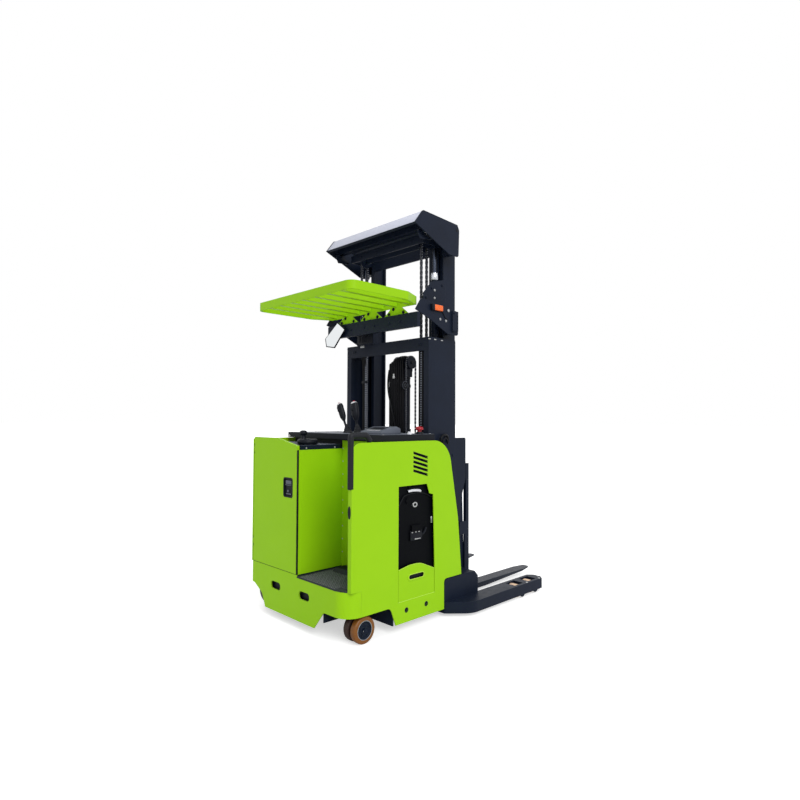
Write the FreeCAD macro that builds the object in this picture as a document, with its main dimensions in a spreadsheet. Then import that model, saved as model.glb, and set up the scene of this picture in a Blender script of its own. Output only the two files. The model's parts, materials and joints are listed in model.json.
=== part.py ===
"""Stand-up reach truck: rear-entry straddle truck with a pantograph reach and a three-stage mast.

Frame: millimetres, +X towards the fork tips, +Y to the truck's left, +Z up.  The origin is on the
floor, halfway along the truck and on its centre plane.  Every length along the truck is given from
the rear face (rear), every width from the centre plane, every height from the floor.
"""
import FreeCAD, Part
import os
import re

import Sketcher

SIZES = {
    # whole truck
    "rear": -1205, "gap": 5, "seat_gap": 0.3,
    # bodywork
    "half_body": 605, "skin": 6, "skirt_wall": 8, "skirt_bottom": 60, "skirt_top": 368,
    "sill_top": 350, "corner_bend": 120, "corner_chamfer": 60, "strip_width": 79,
    "notch_height": 186, "caster_notch_y": 343, "caster_notch_slope": 105, "wheel_notch_y": 345,
    "wheel_notch_rise": 165, "wheel_notch_width": 150, "skirt_slot_y": 176, "skirt_slot_z": 244,
    "skirt_slot_length": 120, "skirt_slot_height": 54,
    # right and left side panels
    "panel_rear": 34, "panel_top": 1295, "panel_front_low": 1114, "panel_front_mid": 1074,
    "panel_mid_z": 708, "panel_crown_x": 961, "panel_crown_round": 190, "panel_rear_round": 70,
    "heel_x": 921, "heel_top": 275, "heel_round": 28, "return_depth": 34, "panel_caster_x": 426,
    "panel_notch_slope": 50, "window_rear": 448, "window_front": 812, "window_top": 988,
    "window_step_x": 731, "window_step_z": 914, "window_bottom": 206, "window_round": 14,
    "vent_x": 593, "vent_z": 1207, "vent_length": 140, "vent_drop": 38, "vent_height": 13,
    "vent_pitch": 31, "panel_hole_x": 527, "panel_hole_z": 142, "panel_hole_pitch": 198,
    "panel_hole_r": 12.5,
    # battery gates
    "gate_top": 424, "gate_crown": 18, "gate_gap": 3, "gate_slot_x": 550, "gate_slot_length": 150,
    "gate_slot_z": 330, "gate_slot_height": 55,
    # cabinet and operator compartment
    "cabinet_y": 55, "cabinet_depth": 400, "cabinet_top": 1230, "band_height": 32,
    "wall_thick": 4, "door_thick": 22, "door_skin": 3, "door_gap": 4, "door_top": 1308,
    "door_low_top": 1259, "door_slope_y": 205, "door_seam": 10, "latch_y": 61, "latch_z": 961,
    "latch_width": 122, "latch_height": 142, "deck_thick": 12, "mat_thick": 10,
    "pedal_length": 120, "pedal_width": 180, "pedal_height": 22,
    "console_z": 1300, "console_height": 40, "console_rear": 330, "console_front": 852,
    "pad_x": 500, "pad_inset": 245, "pad_length": 190, "pad_width": 230, "pad_height": 55,
    "grip_thick": 26, "grip_width": 44, "grip_low": 1000, "grip_top": 1362, "grip_length": 195,
    # battery and its compartment
    "tray_floor": 190, "tray_thick": 10, "bulkhead": 10, "tray_front": 862, "battery_gap": 25,
    "battery_height": 990,
    # drive unit
    "drive_x": 192, "drive_inset": 191, "drive_radius": 165, "drive_width": 130, "drive_bore": 35,
    "bay_top": 404, "ring_radius": 120, "yoke_thick": 18, "motor_radius": 105,
    "motor_height": 330,
    # caster
    "caster_x": 202, "caster_inset": 76, "caster_trail": 35, "caster_radius": 89,
    "caster_width": 50, "caster_gap": 20, "caster_bore": 12, "caster_plate": 214,
    "caster_race": 60,
    # straddle legs and load wheels
    "leg_width": 150, "leg_outer": 745, "leg_bottom": 26, "leg_top": 108, "leg_tip": 2050,
    "leg_chamfer": 41, "leg_sweep_x": 1075, "heel_inner": 465, "heel_front": 1315,
    "load_x_rear": 1713, "load_x_front": 1904, "load_radius": 51, "load_width": 82,
    "load_bore": 10, "well_gap": 8,
    # mast
    "mast_front": 1240, "rail_depth": 140, "stage_step": 27, "outer_web": 431,
    "outer_mouth": 397, "middle_outer": 393, "middle_inner": 362, "inner_outer": 358,
    "inner_mouth": 327, "web": 10, "flange": 15, "outer_bottom": 70, "outer_top": 2860,
    "middle_bottom": 82, "inner_bottom": 94, "stage_drop": 10, "base_front": 945,
    "base_height": 190, "base_lift": 40, "cheek": 6, "cheek_rear": 876, "cheek_top": 2072,
    "cheek_tie": 100, "cheek_web_front": 990, "cheek_out": 484, "cheek_front": 1181,
    "cheek_low": 285, "tie_thick": 14, "tie_height": 60, "outer_tie_x": 868,
    "middle_tie_x": 950, "middle_low_tie": 180, "middle_arm": 375, "middle_arm_thick": 7,
    "ear_rear": 864, "ear_low": 2270, "ear_high": 2551, "ear_front": 1119,
    "mast_roller": 50, "valve_rear": 860, "valve_depth": 45, "valve_y": 127,
    "valve_width": 208, "valve_height": 158,
    # lift chains
    "chain_x": 957, "chain_y": 355, "chain_drop": 44, "chain_turn": 30, "chain_thick": 12,
    "chain_width": 24, "chain_guard": 58, "chain_low": 2040, "chain_inner_low": 128,
    # lift cylinders
    "centre_x": 1100, "centre_tube": 48, "centre_top": 1800, "crosshead_height": 176,
    "crosshead_width": 180, "sheave_radius": 52, "sheave_width": 26, "side_x": 1025,
    "side_y": 404, "side_tube": 24, "side_bore": 18, "side_rod": 15, "side_drop": 300,
    "foot_length": 110, "rod_low": 288,
    # reach unit
    "plate_outer": 455, "plate_thick": 12, "plate_rear": 1187, "plate_front": 1348,
    "plate_above": 262, "plate_below": 65, "plate_tail": 335, "plate_tip_x": 1255,
    "pivot_x": 1283, "pivot_rise": 240, "arm_length": 800, "arm_offset": 27, "arm_width": 76,
    "arm_thick": 22, "arm_a_outer": 437, "arm_b_outer": 410, "pin_radius": 18,
    "pin_play": 0.05, "roller_radius": 25, "roller_width": 18, "channel_wall": 8,
    "channel_inner": 364, "frame_inner": 345, "post_front": 1388, "post_depth": 35,
    "post_inner": 427, "post_above": 54, "post_bottom": 120, "tube_side": 54,
    "block_drop": 410, "tilt_z": 150, "tilt_x": 1322, "frame_gap": 7, "low_beam_z": 190,
    # fork frame and forks
    "bar_rear": 1345, "bar_thick": 20, "bar_half": 380, "bar_low": 118, "bar_low_height": 90,
    "bar_high": 486, "bar_high_height": 70, "ear_y": 200, "ear_thick": 16, "shank": 36,
    "fork_tip": 2410, "fork_inner": 265, "fork_width": 112, "fork_bottom": 28,
    "fork_thick": 40, "fork_tip_thick": 10, "fork_shank_top": 566, "fork_taper": 700,
    # guards
    "guard_plate": 533, "guard_thick": 8, "guard_rise": 135, "guard_rear": 670,
    "guard_lip": 109, "guard_nose": 85, "guard_front": 1151, "guard_front_drop": 59,
    "guard_front_low": 274, "guard_hollow": 1050, "guard_bracket_x": 1080,
    "guard_bracket": 70, "guard_bracket_high": 170, "guard_bracket_drop": 255,
    "guard_stay": 150, "guard_stay_drop": 118, "guard_skin": 12,
    "roof_rear": 40, "roof_front": 724, "roof_half": 579, "roof_front_half": 500,
    "roof_bottom": 2290, "roof_height": 60, "roof_wall": 5, "roof_round": 60,
    "slat_pitch": 147, "slat_thick": 6, "slat_height": 36, "roof_slope_x": 560,
    "beam_x": 700, "beam_bottom": 2126, "beam_height": 108, "beam_thick": 30,
    "tab_pitch": 290, "tab_foot": 270, "tab_head": 110,
    "wing_rear": 681, "wing_rear_z": 2249, "wing_peak": 741, "wing_peak_z": 2337,
    "wing_mid": 1030, "wing_mid_z": 2300, "wing_front": 1150, "wing_front_z": 2290,
    "wing_low_z": 2100, "wing_hollow": 1037, "wing_throat": 850, "wing_throat_z": 2190,
    "wing_box_x": 1080, "wing_box_length": 66, "wing_box_z": 2132, "wing_box_height": 154,
    "wing_box_thick": 14,
    # door hinges
    "hinge_x": 4.5, "hinge_inset": 3, "hinge_low": 480, "hinge_high": 1180,
    "hinge_height": 80, "hinge_part": 22, "hinge_round": 4.2, "hinge_pin": 2,
    "hinge_notch": 5.5, "hinge_seam": 6, "leaf_thick": 3,
    # console fittings
    "console_inset": 34, "console_sink": 60, "stop_x": 722, "stop_y": 535,
    "stop_round": 30, "stop_height": 57, "stick_x": 500, "stick_right_y": 109,
    "stick_left_y": 15, "stick_round": 15, "boot_round": 38, "boot_height": 34,
    "stick_length": 222, "stick_right_lean": 11.5, "stick_left_lean": 16.8,
    "wheel_x": 151, "wheel_y": 40, "wheel_round": 75, "wheel_height": 46,
    "knob_x": 129, "knob_y": 62, "knob_round": 27, "knob_height": 57,
    # warning lamp and mirror
    "lamp_x": 840, "lamp_length": 118, "lamp_z": 2262, "lamp_height": 47, "lamp_thick": 24,
    "mirror_x": 672, "mirror_y": 396, "mirror_z": 2149, "mirror_half_y": 140,
    "mirror_half_z": 106, "mirror_thick": 12, "mirror_rim": 8, "mirror_arm": 30,
    # small gaps, bolts and thicknesses used in several places
    "weld": 1, "bolt_clear": 60,
}

# sizes that follow others, so that a change carries what it bears
FOLLOWS = {
    "drive_y": "half_body - drive_inset", "caster_y": "half_body - caster_inset",
    "pad_y": "half_body - pad_inset", "leg_inner": "leg_outer - leg_width",
    "middle_top": "outer_top - stage_drop", "inner_top": "outer_top - 2*stage_drop",
    "middle_tie_z": "middle_top - tie_height", "outer_tie_z": "outer_top - tie_height",
    "guard_top": "outer_top + guard_rise", "side_top": "outer_top - side_drop",
    "base_low": "leg_bottom + base_lift", "base_top": "base_low + base_height",
    "pivot_z": "arm_length + pivot_rise", "plate_top": "pivot_z + plate_above",
    "plate_low": "pivot_z - plate_below", "plate_tip": "pivot_z - plate_tail",
    "post_top": "pivot_z + post_above", "block_top": "pivot_z - block_drop",
    "chain_z": "outer_top - chain_drop", "hinge_y": "half_body - strip_width - hinge_inset",
}

doc = FreeCAD.newDocument("ReachTruck")
sheet = doc.addObject("Spreadsheet::Sheet", "Dims")
for row, (alias, size) in enumerate(SIZES.items(), start=1):
    sheet.set("A%d" % row, alias)
    sheet.set("B%d" % row, str(size))
    sheet.setAlias("B%d" % row, alias)
doc.recompute()

NODES = []
COUNTER = {"n": 0}
PLANES = {"xy": "XY_Plane", "xz": "XZ_Plane", "yz": "YZ_Plane"}


def bind(text):
    """Turn a formula of size names into an expression on the sheet."""
    def swap(word):
        """Name one size, or write out the sizes it follows."""
        name = word.group(0)
        if name in FOLLOWS:
            return "(%s)" % bind(FOLLOWS[name])
        return "Dims." + name if name in SIZES else name

    return re.sub(r"[A-Za-z_]\w*", swap, str(text))


def fresh(kind):
    """Give a name to a helper solid."""
    COUNTER["n"] += 1
    return "%s_%03d" % (kind, COUNTER["n"])


def place(obj, x="0", y="0", z="0"):
    """Bind an object's position to formulas."""
    for axis, text in zip("xyz", (x, y, z)):
        obj.setExpression("Placement.Base." + axis, bind(text))
    return obj


def box(x, y, z, length, width, height):
    """Block from its low corner and its three lengths."""
    obj = doc.addObject("Part::Box", fresh("block"))
    for name, text in (("Length", length), ("Width", width), ("Height", height)):
        obj.setExpression(name, bind(text))
    return place(obj, x, y, z)


def rod(axis, x, y, z, radius, length):
    """Round bar that starts at a point and runs along an axis."""
    obj = doc.addObject("Part::Cylinder", fresh("rod"))
    obj.setExpression("Radius", bind(radius))
    obj.setExpression("Height", bind(length))
    turns = {"x": FreeCAD.Rotation(FreeCAD.Vector(0, 1, 0), 90),
             "y": FreeCAD.Rotation(FreeCAD.Vector(1, 0, 0), -90),
             "z": FreeCAD.Rotation()}
    obj.Placement = FreeCAD.Placement(FreeCAD.Vector(), turns[axis])
    return place(obj, x, y, z)


def cross_bar(x, y, z, sides, radius, length):
    """Flat-sided bar that starts at a point and runs along Y."""
    obj = doc.addObject("Part::Prism", fresh("bar"))
    obj.Polygon = sides
    obj.setExpression("Circumradius", bind(radius))
    obj.setExpression("Height", bind(length))
    obj.Placement = FreeCAD.Placement(
        FreeCAD.Vector(), FreeCAD.Rotation(FreeCAD.Vector(1, 0, 0), -90))
    return place(obj, x, y, z)


def prism(x, y, z, sides, radius, length, lean=None):
    """Upright bar with flat sides; lean is a size name that tips it about the X axis."""
    obj = doc.addObject("Part::Prism", fresh("prism"))
    obj.Polygon = sides
    obj.setExpression("Circumradius", bind(radius))
    obj.setExpression("Height", bind(length))
    if lean:
        obj.Placement = FreeCAD.Placement(
            FreeCAD.Vector(), FreeCAD.Rotation(FreeCAD.Vector(-1, 0, 0), 1))
        obj.setExpression("Placement.Rotation.Angle", bind(lean))
    return place(obj, x, y, z)


def fuse(*items):
    """Weld solids into one."""
    obj = doc.addObject("Part::MultiFuse", fresh("weld"))
    obj.Shapes = list(items)
    obj.Refine = True
    return obj


def cut(base, *tools):
    """Cut solids out of a base solid."""
    obj = doc.addObject("Part::Cut", fresh("cut"))
    obj.Base = base
    obj.Tool = tools[0] if len(tools) == 1 else fuse(*tools)
    obj.Refine = True
    return obj


def mirror(source):
    """Copy a solid to the other side of the centre plane."""
    obj = doc.addObject("Part::Mirroring", fresh("mirror"))
    obj.Source = source
    obj.Base = (0, 0, 0)
    obj.Normal = (0, 1, 0)
    return obj


def both(source):
    """The solid and its mirror image, welded where they meet."""
    return fuse(source, mirror(source))


def sketch_on(body, plane, loops):
    """Sketch of closed loops: lists of points, or (centre x, centre y, radius) circles."""
    sketch = body.newObject("Sketcher::SketchObject", fresh("outline"))
    support = [item for item in body.Origin.OriginFeatures if item.Role == PLANES[plane]][0]
    sketch.AttachmentSupport = (support, "")
    sketch.MapMode = "FlatFace"
    for loop in loops:
        if isinstance(loop, tuple):
            circle = sketch.addGeometry(Part.Circle(FreeCAD.Vector(1, 1, 0),
                                                    FreeCAD.Vector(0, 0, 1), 1), False)
            pin_point(sketch, circle, 3, loop[0], loop[1])
            dim = sketch.addConstraint(Sketcher.Constraint("Radius", circle, 1.0))
            sketch.setExpression("Constraints[%d]" % dim, bind(loop[2]))
            continue
        count = len(loop)
        guide = [FreeCAD.Vector(10 * (i + 1), i * i + 1, 0) for i in range(count)]
        lines = [sketch.addGeometry(Part.LineSegment(guide[i], guide[(i + 1) % count]), False)
                 for i in range(count)]
        for i in range(count):
            sketch.addConstraint(Sketcher.Constraint("Coincident", lines[i], 2,
                                                     lines[(i + 1) % count], 1))
        for line, (along, up) in zip(lines, loop):
            pin_point(sketch, line, 1, along, up)
    return sketch


def pin_point(sketch, item, end, along, up):
    """Fix one point of a sketch to two formulas."""
    for kind, text in (("DistanceX", along), ("DistanceY", up)):
        dim = sketch.addConstraint(Sketcher.Constraint(kind, -1, 1, item, end, 1.0))
        sketch.setExpression("Constraints[%d]" % dim, bind(text))


def plate(plane, at, thick, loops, rounds=()):
    """Flat plate: an outline with holes, padded from at by thick along the plane's axis.

    rounds holds (index of a point of the first loop, radius) pairs.
    """
    body = doc.addObject("PartDesign::Body", fresh("plate"))
    sketch = sketch_on(body, plane, loops)
    pad = body.newObject("PartDesign::Pad", fresh("pad"))
    pad.Profile = sketch
    pad.setExpression("Length", bind(thick))
    if plane == "xy":
        place(body, z=at)
    elif plane == "yz":
        place(body, x=at)
    else:
        place(body, y="%s + %s" % (at, thick))
    doc.recompute()
    for index, radius in rounds:
        corner = sketch.Geometry[index].StartPoint
        flat = {"xy": ("x", "y"), "yz": ("y", "z"), "xz": ("x", "z")}[plane]
        names = []
        before = body.Tip
        for number, edge in enumerate(before.Shape.Edges, start=1):
            ends = [vertex.Point for vertex in edge.Vertexes]
            if len(ends) == 2 and all(abs(getattr(end, flat[0]) - corner.x) < 1e-4
                                      and abs(getattr(end, flat[1]) - corner.y) < 1e-4
                                      for end in ends):
                names.append("Edge%d" % number)
        round_off = body.newObject("PartDesign::Fillet", fresh("round"))
        round_off.Base = (before, names)
        round_off.setExpression("Radius", bind(radius))
        body.Tip = round_off
        doc.recompute()
    return body


def turned(axis_x, axis_y, axis_z, profile, axis="y"):
    """Solid of revolution about a line along Y or Z; profile holds (radius, along) points."""
    body = doc.addObject("PartDesign::Body", fresh("turned"))
    plane = "xy" if axis == "y" else "xz"
    sketch = sketch_on(body, plane, [profile])
    spun = body.newObject("PartDesign::Revolution", fresh("spin"))
    spun.Profile = sketch
    spun.ReferenceAxis = (sketch, ["V_Axis"])
    spun.Angle = 360
    return place(body, axis_x, axis_y, axis_z)


def node(name, obj):
    """Name a finished sub-part."""
    obj.Label = name
    NODES.append(obj)
    return obj


# ---------------------------------------------------------------- straddle legs and load wheels
def straddle_leg():
    """Right leg with its heel block, wheel wells and axles."""
    beam = plate("xy", "leg_bottom", "leg_top - leg_bottom", [[
        ("rear + heel_x", "-heel_inner"), ("rear + heel_x", "-half_body"),
        ("rear + leg_sweep_x", "-leg_outer"), ("rear + leg_tip - leg_chamfer", "-leg_outer"),
        ("rear + leg_tip", "-leg_outer + leg_chamfer"),
        ("rear + leg_tip", "-leg_inner - leg_chamfer"),
        ("rear + leg_tip - leg_chamfer", "-leg_inner"),
        ("rear + heel_front", "-leg_inner"), ("rear + heel_front", "-heel_inner")]],
        rounds=[(1, "leg_chamfer"), (2, "leg_sweep_x - heel_x")])
    heel = plate("xz", "-half_body", "half_body - heel_inner", [[
        ("rear + heel_x", "leg_bottom"), ("rear + heel_x", "heel_top"),
        ("rear + heel_front - leg_chamfer", "heel_top"),
        ("rear + heel_front", "heel_top - leg_chamfer"),
        ("rear + heel_front", "leg_bottom")]], rounds=[(1, "heel_round")])
    wells = []
    axles = []
    for station in ("load_x_rear", "load_x_front"):
        middle = "-(leg_inner + leg_outer)/2"
        wells.append(box("rear + %s - load_radius - well_gap" % station,
                         middle + " - load_width/2 - gap", "leg_bottom - 1",
                         "2*load_radius + 2*well_gap", "load_width + 2*gap",
                         "leg_top - leg_bottom + 2"))
        axles.append(rod("y", "rear + " + station, middle + " - load_width/2 - gap - 2",
                         "load_radius", "load_bore - pin_play", "load_width + 2*gap + 4"))
    return fuse(cut(fuse(beam, heel), *wells), *axles)


right_leg = node("leg_right", straddle_leg())
node("leg_left", mirror(right_leg))


def load_wheel(station):
    """Solid polyurethane load wheel on its bush."""
    return turned("rear + " + station, "-(leg_inner + leg_outer)/2", "load_radius", [
        ("load_bore", "-load_width/2"), ("load_radius", "-load_width/2"),
        ("load_radius", "load_width/2"), ("load_bore", "load_width/2")])


for end, station in (("rear", "load_x_rear"), ("front", "load_x_front")):
    wheel = node("load_wheel_right_" + end, load_wheel(station))
    node("load_wheel_left_" + end, mirror(wheel))

# ---------------------------------------------------------------- drive unit
wheel_profile = [
    ("drive_bore", "-drive_width/2"), ("drive_radius", "-drive_width/2"),
    ("drive_radius", "drive_width/2"), ("drive_bore", "drive_width/2")]
node("drive_wheel", turned("rear + drive_x", "drive_y", "drive_radius", wheel_profile))
yoke_side = "drive_y - drive_width/2 - gap - yoke_thick"
gearbox = plate("xz", yoke_side, "yoke_thick", [[
    ("rear + drive_x - 70", "drive_radius - 50"), ("rear + drive_x - 40", "drive_radius - 75"),
    ("rear + drive_x + 40", "drive_radius - 75"), ("rear + drive_x + 70", "drive_radius - 50"),
    ("rear + drive_x + 105", "bay_top - gap"), ("rear + drive_x - 105", "bay_top - gap")]])
hub = rod("y", "rear + drive_x", yoke_side, "drive_radius", "drive_bore - pin_play",
          "drive_width + 2*gap + yoke_thick")
crown = box("rear + drive_x - ring_radius + 12", "drive_y - ring_radius + 12",
            "bay_top - gap - 45", "2*ring_radius - 24", "2*ring_radius - 24", "45")
neck = rod("z", "rear + drive_x", "drive_y", "bay_top - gap - 1", "ring_radius - 12 - gap",
           "21 + gap + seat_gap")
ring = box("rear + drive_x - ring_radius", "drive_y - ring_radius", "bay_top + 20 + seat_gap",
           "2*ring_radius", "2*ring_radius", "12")
node("drive_gearbox", fuse(gearbox, hub, crown, neck, ring))
node("drive_motor", prism("rear + drive_x", "drive_y", "bay_top + 32 + seat_gap", 20,
                          "motor_radius", "motor_height"))

# ---------------------------------------------------------------- caster
caster_mid = "rear + caster_x - caster_trail"
twin = "(caster_width + caster_gap)/2"
caster_ring = [("caster_bore", "-caster_width/2"), ("caster_radius", "-caster_width/2"),
               ("caster_radius", "caster_width/2"), ("caster_bore", "caster_width/2")]
node("caster_wheels", fuse(turned(caster_mid, "-caster_y - " + twin, "caster_radius", caster_ring),
                           turned(caster_mid, "-caster_y + " + twin, "caster_radius", caster_ring)))
leg_plate = plate("xz", "-caster_y - caster_gap/2 + 3", "caster_gap - 6", [[
    ("rear + caster_x - caster_trail - 26", "caster_radius - 24"),
    ("rear + caster_x - caster_trail + 26", "caster_radius - 24"),
    ("rear + caster_x + 50", "caster_plate - 18"),
    ("rear + caster_x - 50", "caster_plate - 18")]])
axle = rod("y", caster_mid, "-caster_y - caster_gap/2 - caster_width - 4", "caster_radius",
           "caster_bore - pin_play", "2*caster_width + caster_gap + 8")
head = rod("z", "rear + caster_x", "-caster_y", "caster_plate - 26", "caster_race", "26")
kingpin = rod("z", "rear + caster_x", "-caster_y", "caster_plate - 1", "pin_radius - pin_play",
              "31")
node("caster_fork", fuse(leg_plate, axle, head, kingpin))

# ---------------------------------------------------------------- frame under the bodywork
deck = plate("xy", "sill_top - deck_thick", "deck_thick", [[
    ("rear + skirt_wall", "-half_body + skirt_wall"), ("rear + skirt_wall", "-cabinet_y"),
    ("rear + cabinet_depth", "-cabinet_y"),
    ("rear + cabinet_depth", "-half_body + skirt_wall")]], rounds=[(0, "corner_bend - skirt_wall")])
caster_seat = box("rear + caster_x - 80", "-half_body + skirt_wall", "caster_plate + gap",
                  "160", "190", "16")
post_long = "sill_top - deck_thick - caster_plate - gap"
caster_posts = [box("rear + caster_x " + at, "-half_body + skirt_wall", "caster_plate + gap",
                    "12", "190", post_long) for at in ("- 80", "+ 68")]
pin_hole = rod("z", "rear + caster_x", "-caster_y", "caster_plate", "pin_radius", "60")
node("operator_deck", cut(fuse(deck, caster_seat, *caster_posts), pin_hole))

bay = plate("xy", "bay_top", "20", [[
    ("rear + door_thick + gap", "-cabinet_y + wall_thick"),
    ("rear + cabinet_depth", "-cabinet_y + wall_thick"),
    ("rear + cabinet_depth", "half_body - skin"),
    ("rear + corner_chamfer + 10", "half_body - skin"),
    ("rear + door_thick + gap", "half_body - strip_width - 3")]])
ring_hole = rod("z", "rear + drive_x", "drive_y", "bay_top - 1", "ring_radius - 12", "22")
bay_wall = plate("xz", "-cabinet_y + wall_thick", "8", [[
    ("rear + skirt_wall", "skirt_bottom"), ("rear + cabinet_depth", "skirt_bottom"),
    ("rear + cabinet_depth", "bay_top + 1"), ("rear + door_thick + gap", "bay_top + 1"),
    ("rear + door_thick + gap", "skirt_top"), ("rear + skirt_wall", "skirt_top")]])
node("drive_bay", cut(fuse(bay, bay_wall), ring_hole))

bulk = box("rear + cabinet_depth", "-half_body + skin", "skirt_bottom", "bulkhead",
           "2*half_body - 2*skin", "panel_top - skirt_bottom - 60")
node("bulkhead", bulk)
tray_length = "tray_front - cabinet_depth - bulkhead"
tray = box("rear + cabinet_depth + bulkhead", "-half_body + skin", "tray_floor - tray_thick",
           tray_length, "2*half_body - 2*skin", "tray_thick")
tray_end = box("rear + tray_front", "-half_body + skin", "skirt_bottom", "tray_thick",
               "2*half_body - 2*skin", "panel_top - skirt_bottom - 60")
skids = [box("rear + cabinet_depth + bulkhead + %s*(%s)" % (part, tray_length),
             "-half_body + skin + 2*tray_thick", "tray_floor - weld", "tray_thick",
             "2*half_body - 2*skin - 4*tray_thick", "weld + 4") for part in (0.2, 0.5, 0.8)]
node("battery_tray", fuse(tray, tray_end, *skids))

cross = box("rear + tray_front + tray_thick", "-heel_inner", "base_low",
            "base_front - tray_front - tray_thick", "2*heel_inner", "base_height")
saddle = box("rear + base_front - weld", "outer_web + seat_gap", "base_low",
             "mast_front - base_front + weld", "heel_inner - outer_web - seat_gap", "base_height")
foot = box("rear + base_front - weld", "side_y - side_tube", "base_low", "foot_length",
           "outer_web + seat_gap + weld - side_y + side_tube", "base_height")
node("mast_base", fuse(cross, saddle, mirror(saddle), foot, mirror(foot)))

# ---------------------------------------------------------------- battery
battery_rear = "rear + cabinet_depth + bulkhead + 20"
battery_length = "tray_front - cabinet_depth - bulkhead - 40"
pack = box(battery_rear, "-half_body + battery_gap", "tray_floor + 4", battery_length,
           "2*half_body - 2*battery_gap", "battery_height")
ring_lock = rod("y", "rear + 560", "-half_body + battery_gap - 8", "880", "22", "12")
connector = box("rear + 590", "-half_body + battery_gap - 14", "655", "95", "18", "50")
grip_bar = box("rear + 560", "-half_body + battery_gap - 12", "955", "130", "16", "18")
node("battery", fuse(pack, ring_lock, connector, grip_bar))

# ---------------------------------------------------------------- bodywork
skirt = plate("xy", "skirt_bottom", "skirt_top - skirt_bottom", [[
    ("rear + corner_bend", "-half_body"), ("rear", "-half_body"),
    ("rear", "half_body - strip_width"), ("rear + corner_chamfer", "half_body"),
    ("rear + corner_chamfer + 4", "half_body - skirt_wall"),
    ("rear + skirt_wall", "half_body - strip_width - 3"),
    ("rear + skirt_wall", "-half_body + skirt_wall"),
    ("rear + corner_bend", "-half_body + skirt_wall")]],
    rounds=[(1, "corner_bend - 1"), (6, "corner_bend - skirt_wall - 1")])
caster_notch = plate("yz", "rear - 1", "corner_bend + 2", [[
    ("-half_body - 1", "skirt_bottom - 10"), ("-half_body + caster_notch_y", "skirt_bottom - 10"),
    ("-half_body + caster_notch_y", "skirt_bottom"),
    ("-half_body + caster_notch_y - caster_notch_slope", "notch_height"),
    ("-half_body - 1", "notch_height")]], rounds=[(3, "40")])
wheel_notch = plate("yz", "rear - 1", "corner_chamfer + 12", [[
    ("half_body + 1", "skirt_bottom - 10"), ("wheel_notch_y", "skirt_bottom - 10"),
    ("wheel_notch_y", "skirt_bottom"),
    ("wheel_notch_y + 43", "skirt_bottom + wheel_notch_rise*0.56"),
    ("wheel_notch_y + wheel_notch_width", "skirt_bottom + wheel_notch_rise*0.9"),
    ("half_body + 1", "skirt_bottom + wheel_notch_rise")]], rounds=[(3, "60")])
sill_step = box("rear - 1", "-half_body - 1", "sill_top", "corner_bend + 2",
                "half_body - cabinet_y + 1", "skirt_top - sill_top + 1")


def skirt_slot(middle):
    """Rounded lift slot in the rear skirt."""
    low = "skirt_slot_z - skirt_slot_height/2"
    return plate("yz", "rear - 1", "skirt_wall + 2", [[
        (middle + " - skirt_slot_length/2", low), (middle + " + skirt_slot_length/2", low),
        (middle + " + skirt_slot_length/2", low + " + skirt_slot_height"),
        (middle + " - skirt_slot_length/2", low + " + skirt_slot_height")]],
        rounds=[(index, "skirt_slot_height*0.45") for index in range(4)])


node("rear_skirt", cut(skirt, caster_notch, wheel_notch, sill_step,
                       skirt_slot("skirt_slot_y + 30"), skirt_slot("-skirt_slot_y + 29")))


def panel_outline(low_rear):
    """Side panel's outline: low_rear gives the points of its lower rear corner."""
    return low_rear + [
        ("rear + panel_caster_x", "skirt_bottom"), ("rear + heel_x - gap", "skirt_bottom"),
        ("rear + heel_x - gap", "heel_top + gap"), ("rear + panel_front_low", "heel_top + gap"),
        ("rear + panel_front_mid", "panel_mid_z"), ("rear + panel_crown_x", "panel_top")]


window = [("rear + window_rear", "window_bottom"), ("rear + window_front", "window_bottom"),
          ("rear + window_front", "gate_top"), ("rear + window_front - 16", "window_step_z - 6"),
          ("rear + window_step_x + 26", "window_step_z + 4"),
          ("rear + window_step_x", "window_top"), ("rear + window_rear", "window_top")]


def vent(number):
    """One slanted louvre slot of a side panel."""
    high = "vent_z - %d*vent_pitch" % number
    far = "rear + vent_x + vent_length"
    return [("rear + vent_x", high), (far, high + " - vent_drop"),
            (far, high + " - vent_drop + vent_height"), ("rear + vent_x", high + " + vent_height")]


holes = [("rear + panel_hole_x", "panel_hole_z", "panel_hole_r"),
         ("rear + panel_hole_x + panel_hole_pitch", "panel_hole_z", "panel_hole_r")]
vents = [vent(number) for number in range(5)]
right_points = panel_outline([
    ("rear + panel_rear", "panel_top"), ("rear + panel_rear", "sill_top"),
    ("rear + corner_bend + 1", "sill_top"), ("rear + corner_bend + 1", "notch_height"),
    ("rear + panel_caster_x - panel_notch_slope", "notch_height")])
sheet_right = plate("xz", "-half_body", "skin", [right_points, window] + vents + holes,
                    rounds=[(0, "panel_rear_round"), (4, "40"), (7, "heel_round"),
                            (10, "panel_crown_round")])
flange = box("rear + panel_rear", "-half_body", "sill_top", "skin", "return_depth",
             "panel_top - sill_top - panel_rear_round")
top_flange = box("rear + panel_rear + panel_rear_round", "-half_body", "panel_top - skin",
                 "panel_crown_x - panel_crown_round - panel_rear - panel_rear_round",
                 "return_depth", "skin")
node("panel_right", fuse(sheet_right, flange, top_flange))
left_points = panel_outline([
    ("rear + corner_chamfer + 4 + seat_gap", "panel_top"),
    ("rear + corner_chamfer + 4 + seat_gap", "skirt_bottom + wheel_notch_rise"),
    ("rear + panel_caster_x - panel_notch_slope", "skirt_bottom + wheel_notch_rise")])
node("panel_left", plate("xz", "half_body - skin", "skin",
                         [left_points, window] + vents + holes,
                         rounds=[(2, "40"), (5, "heel_round"), (8, "panel_crown_round")]))

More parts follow.
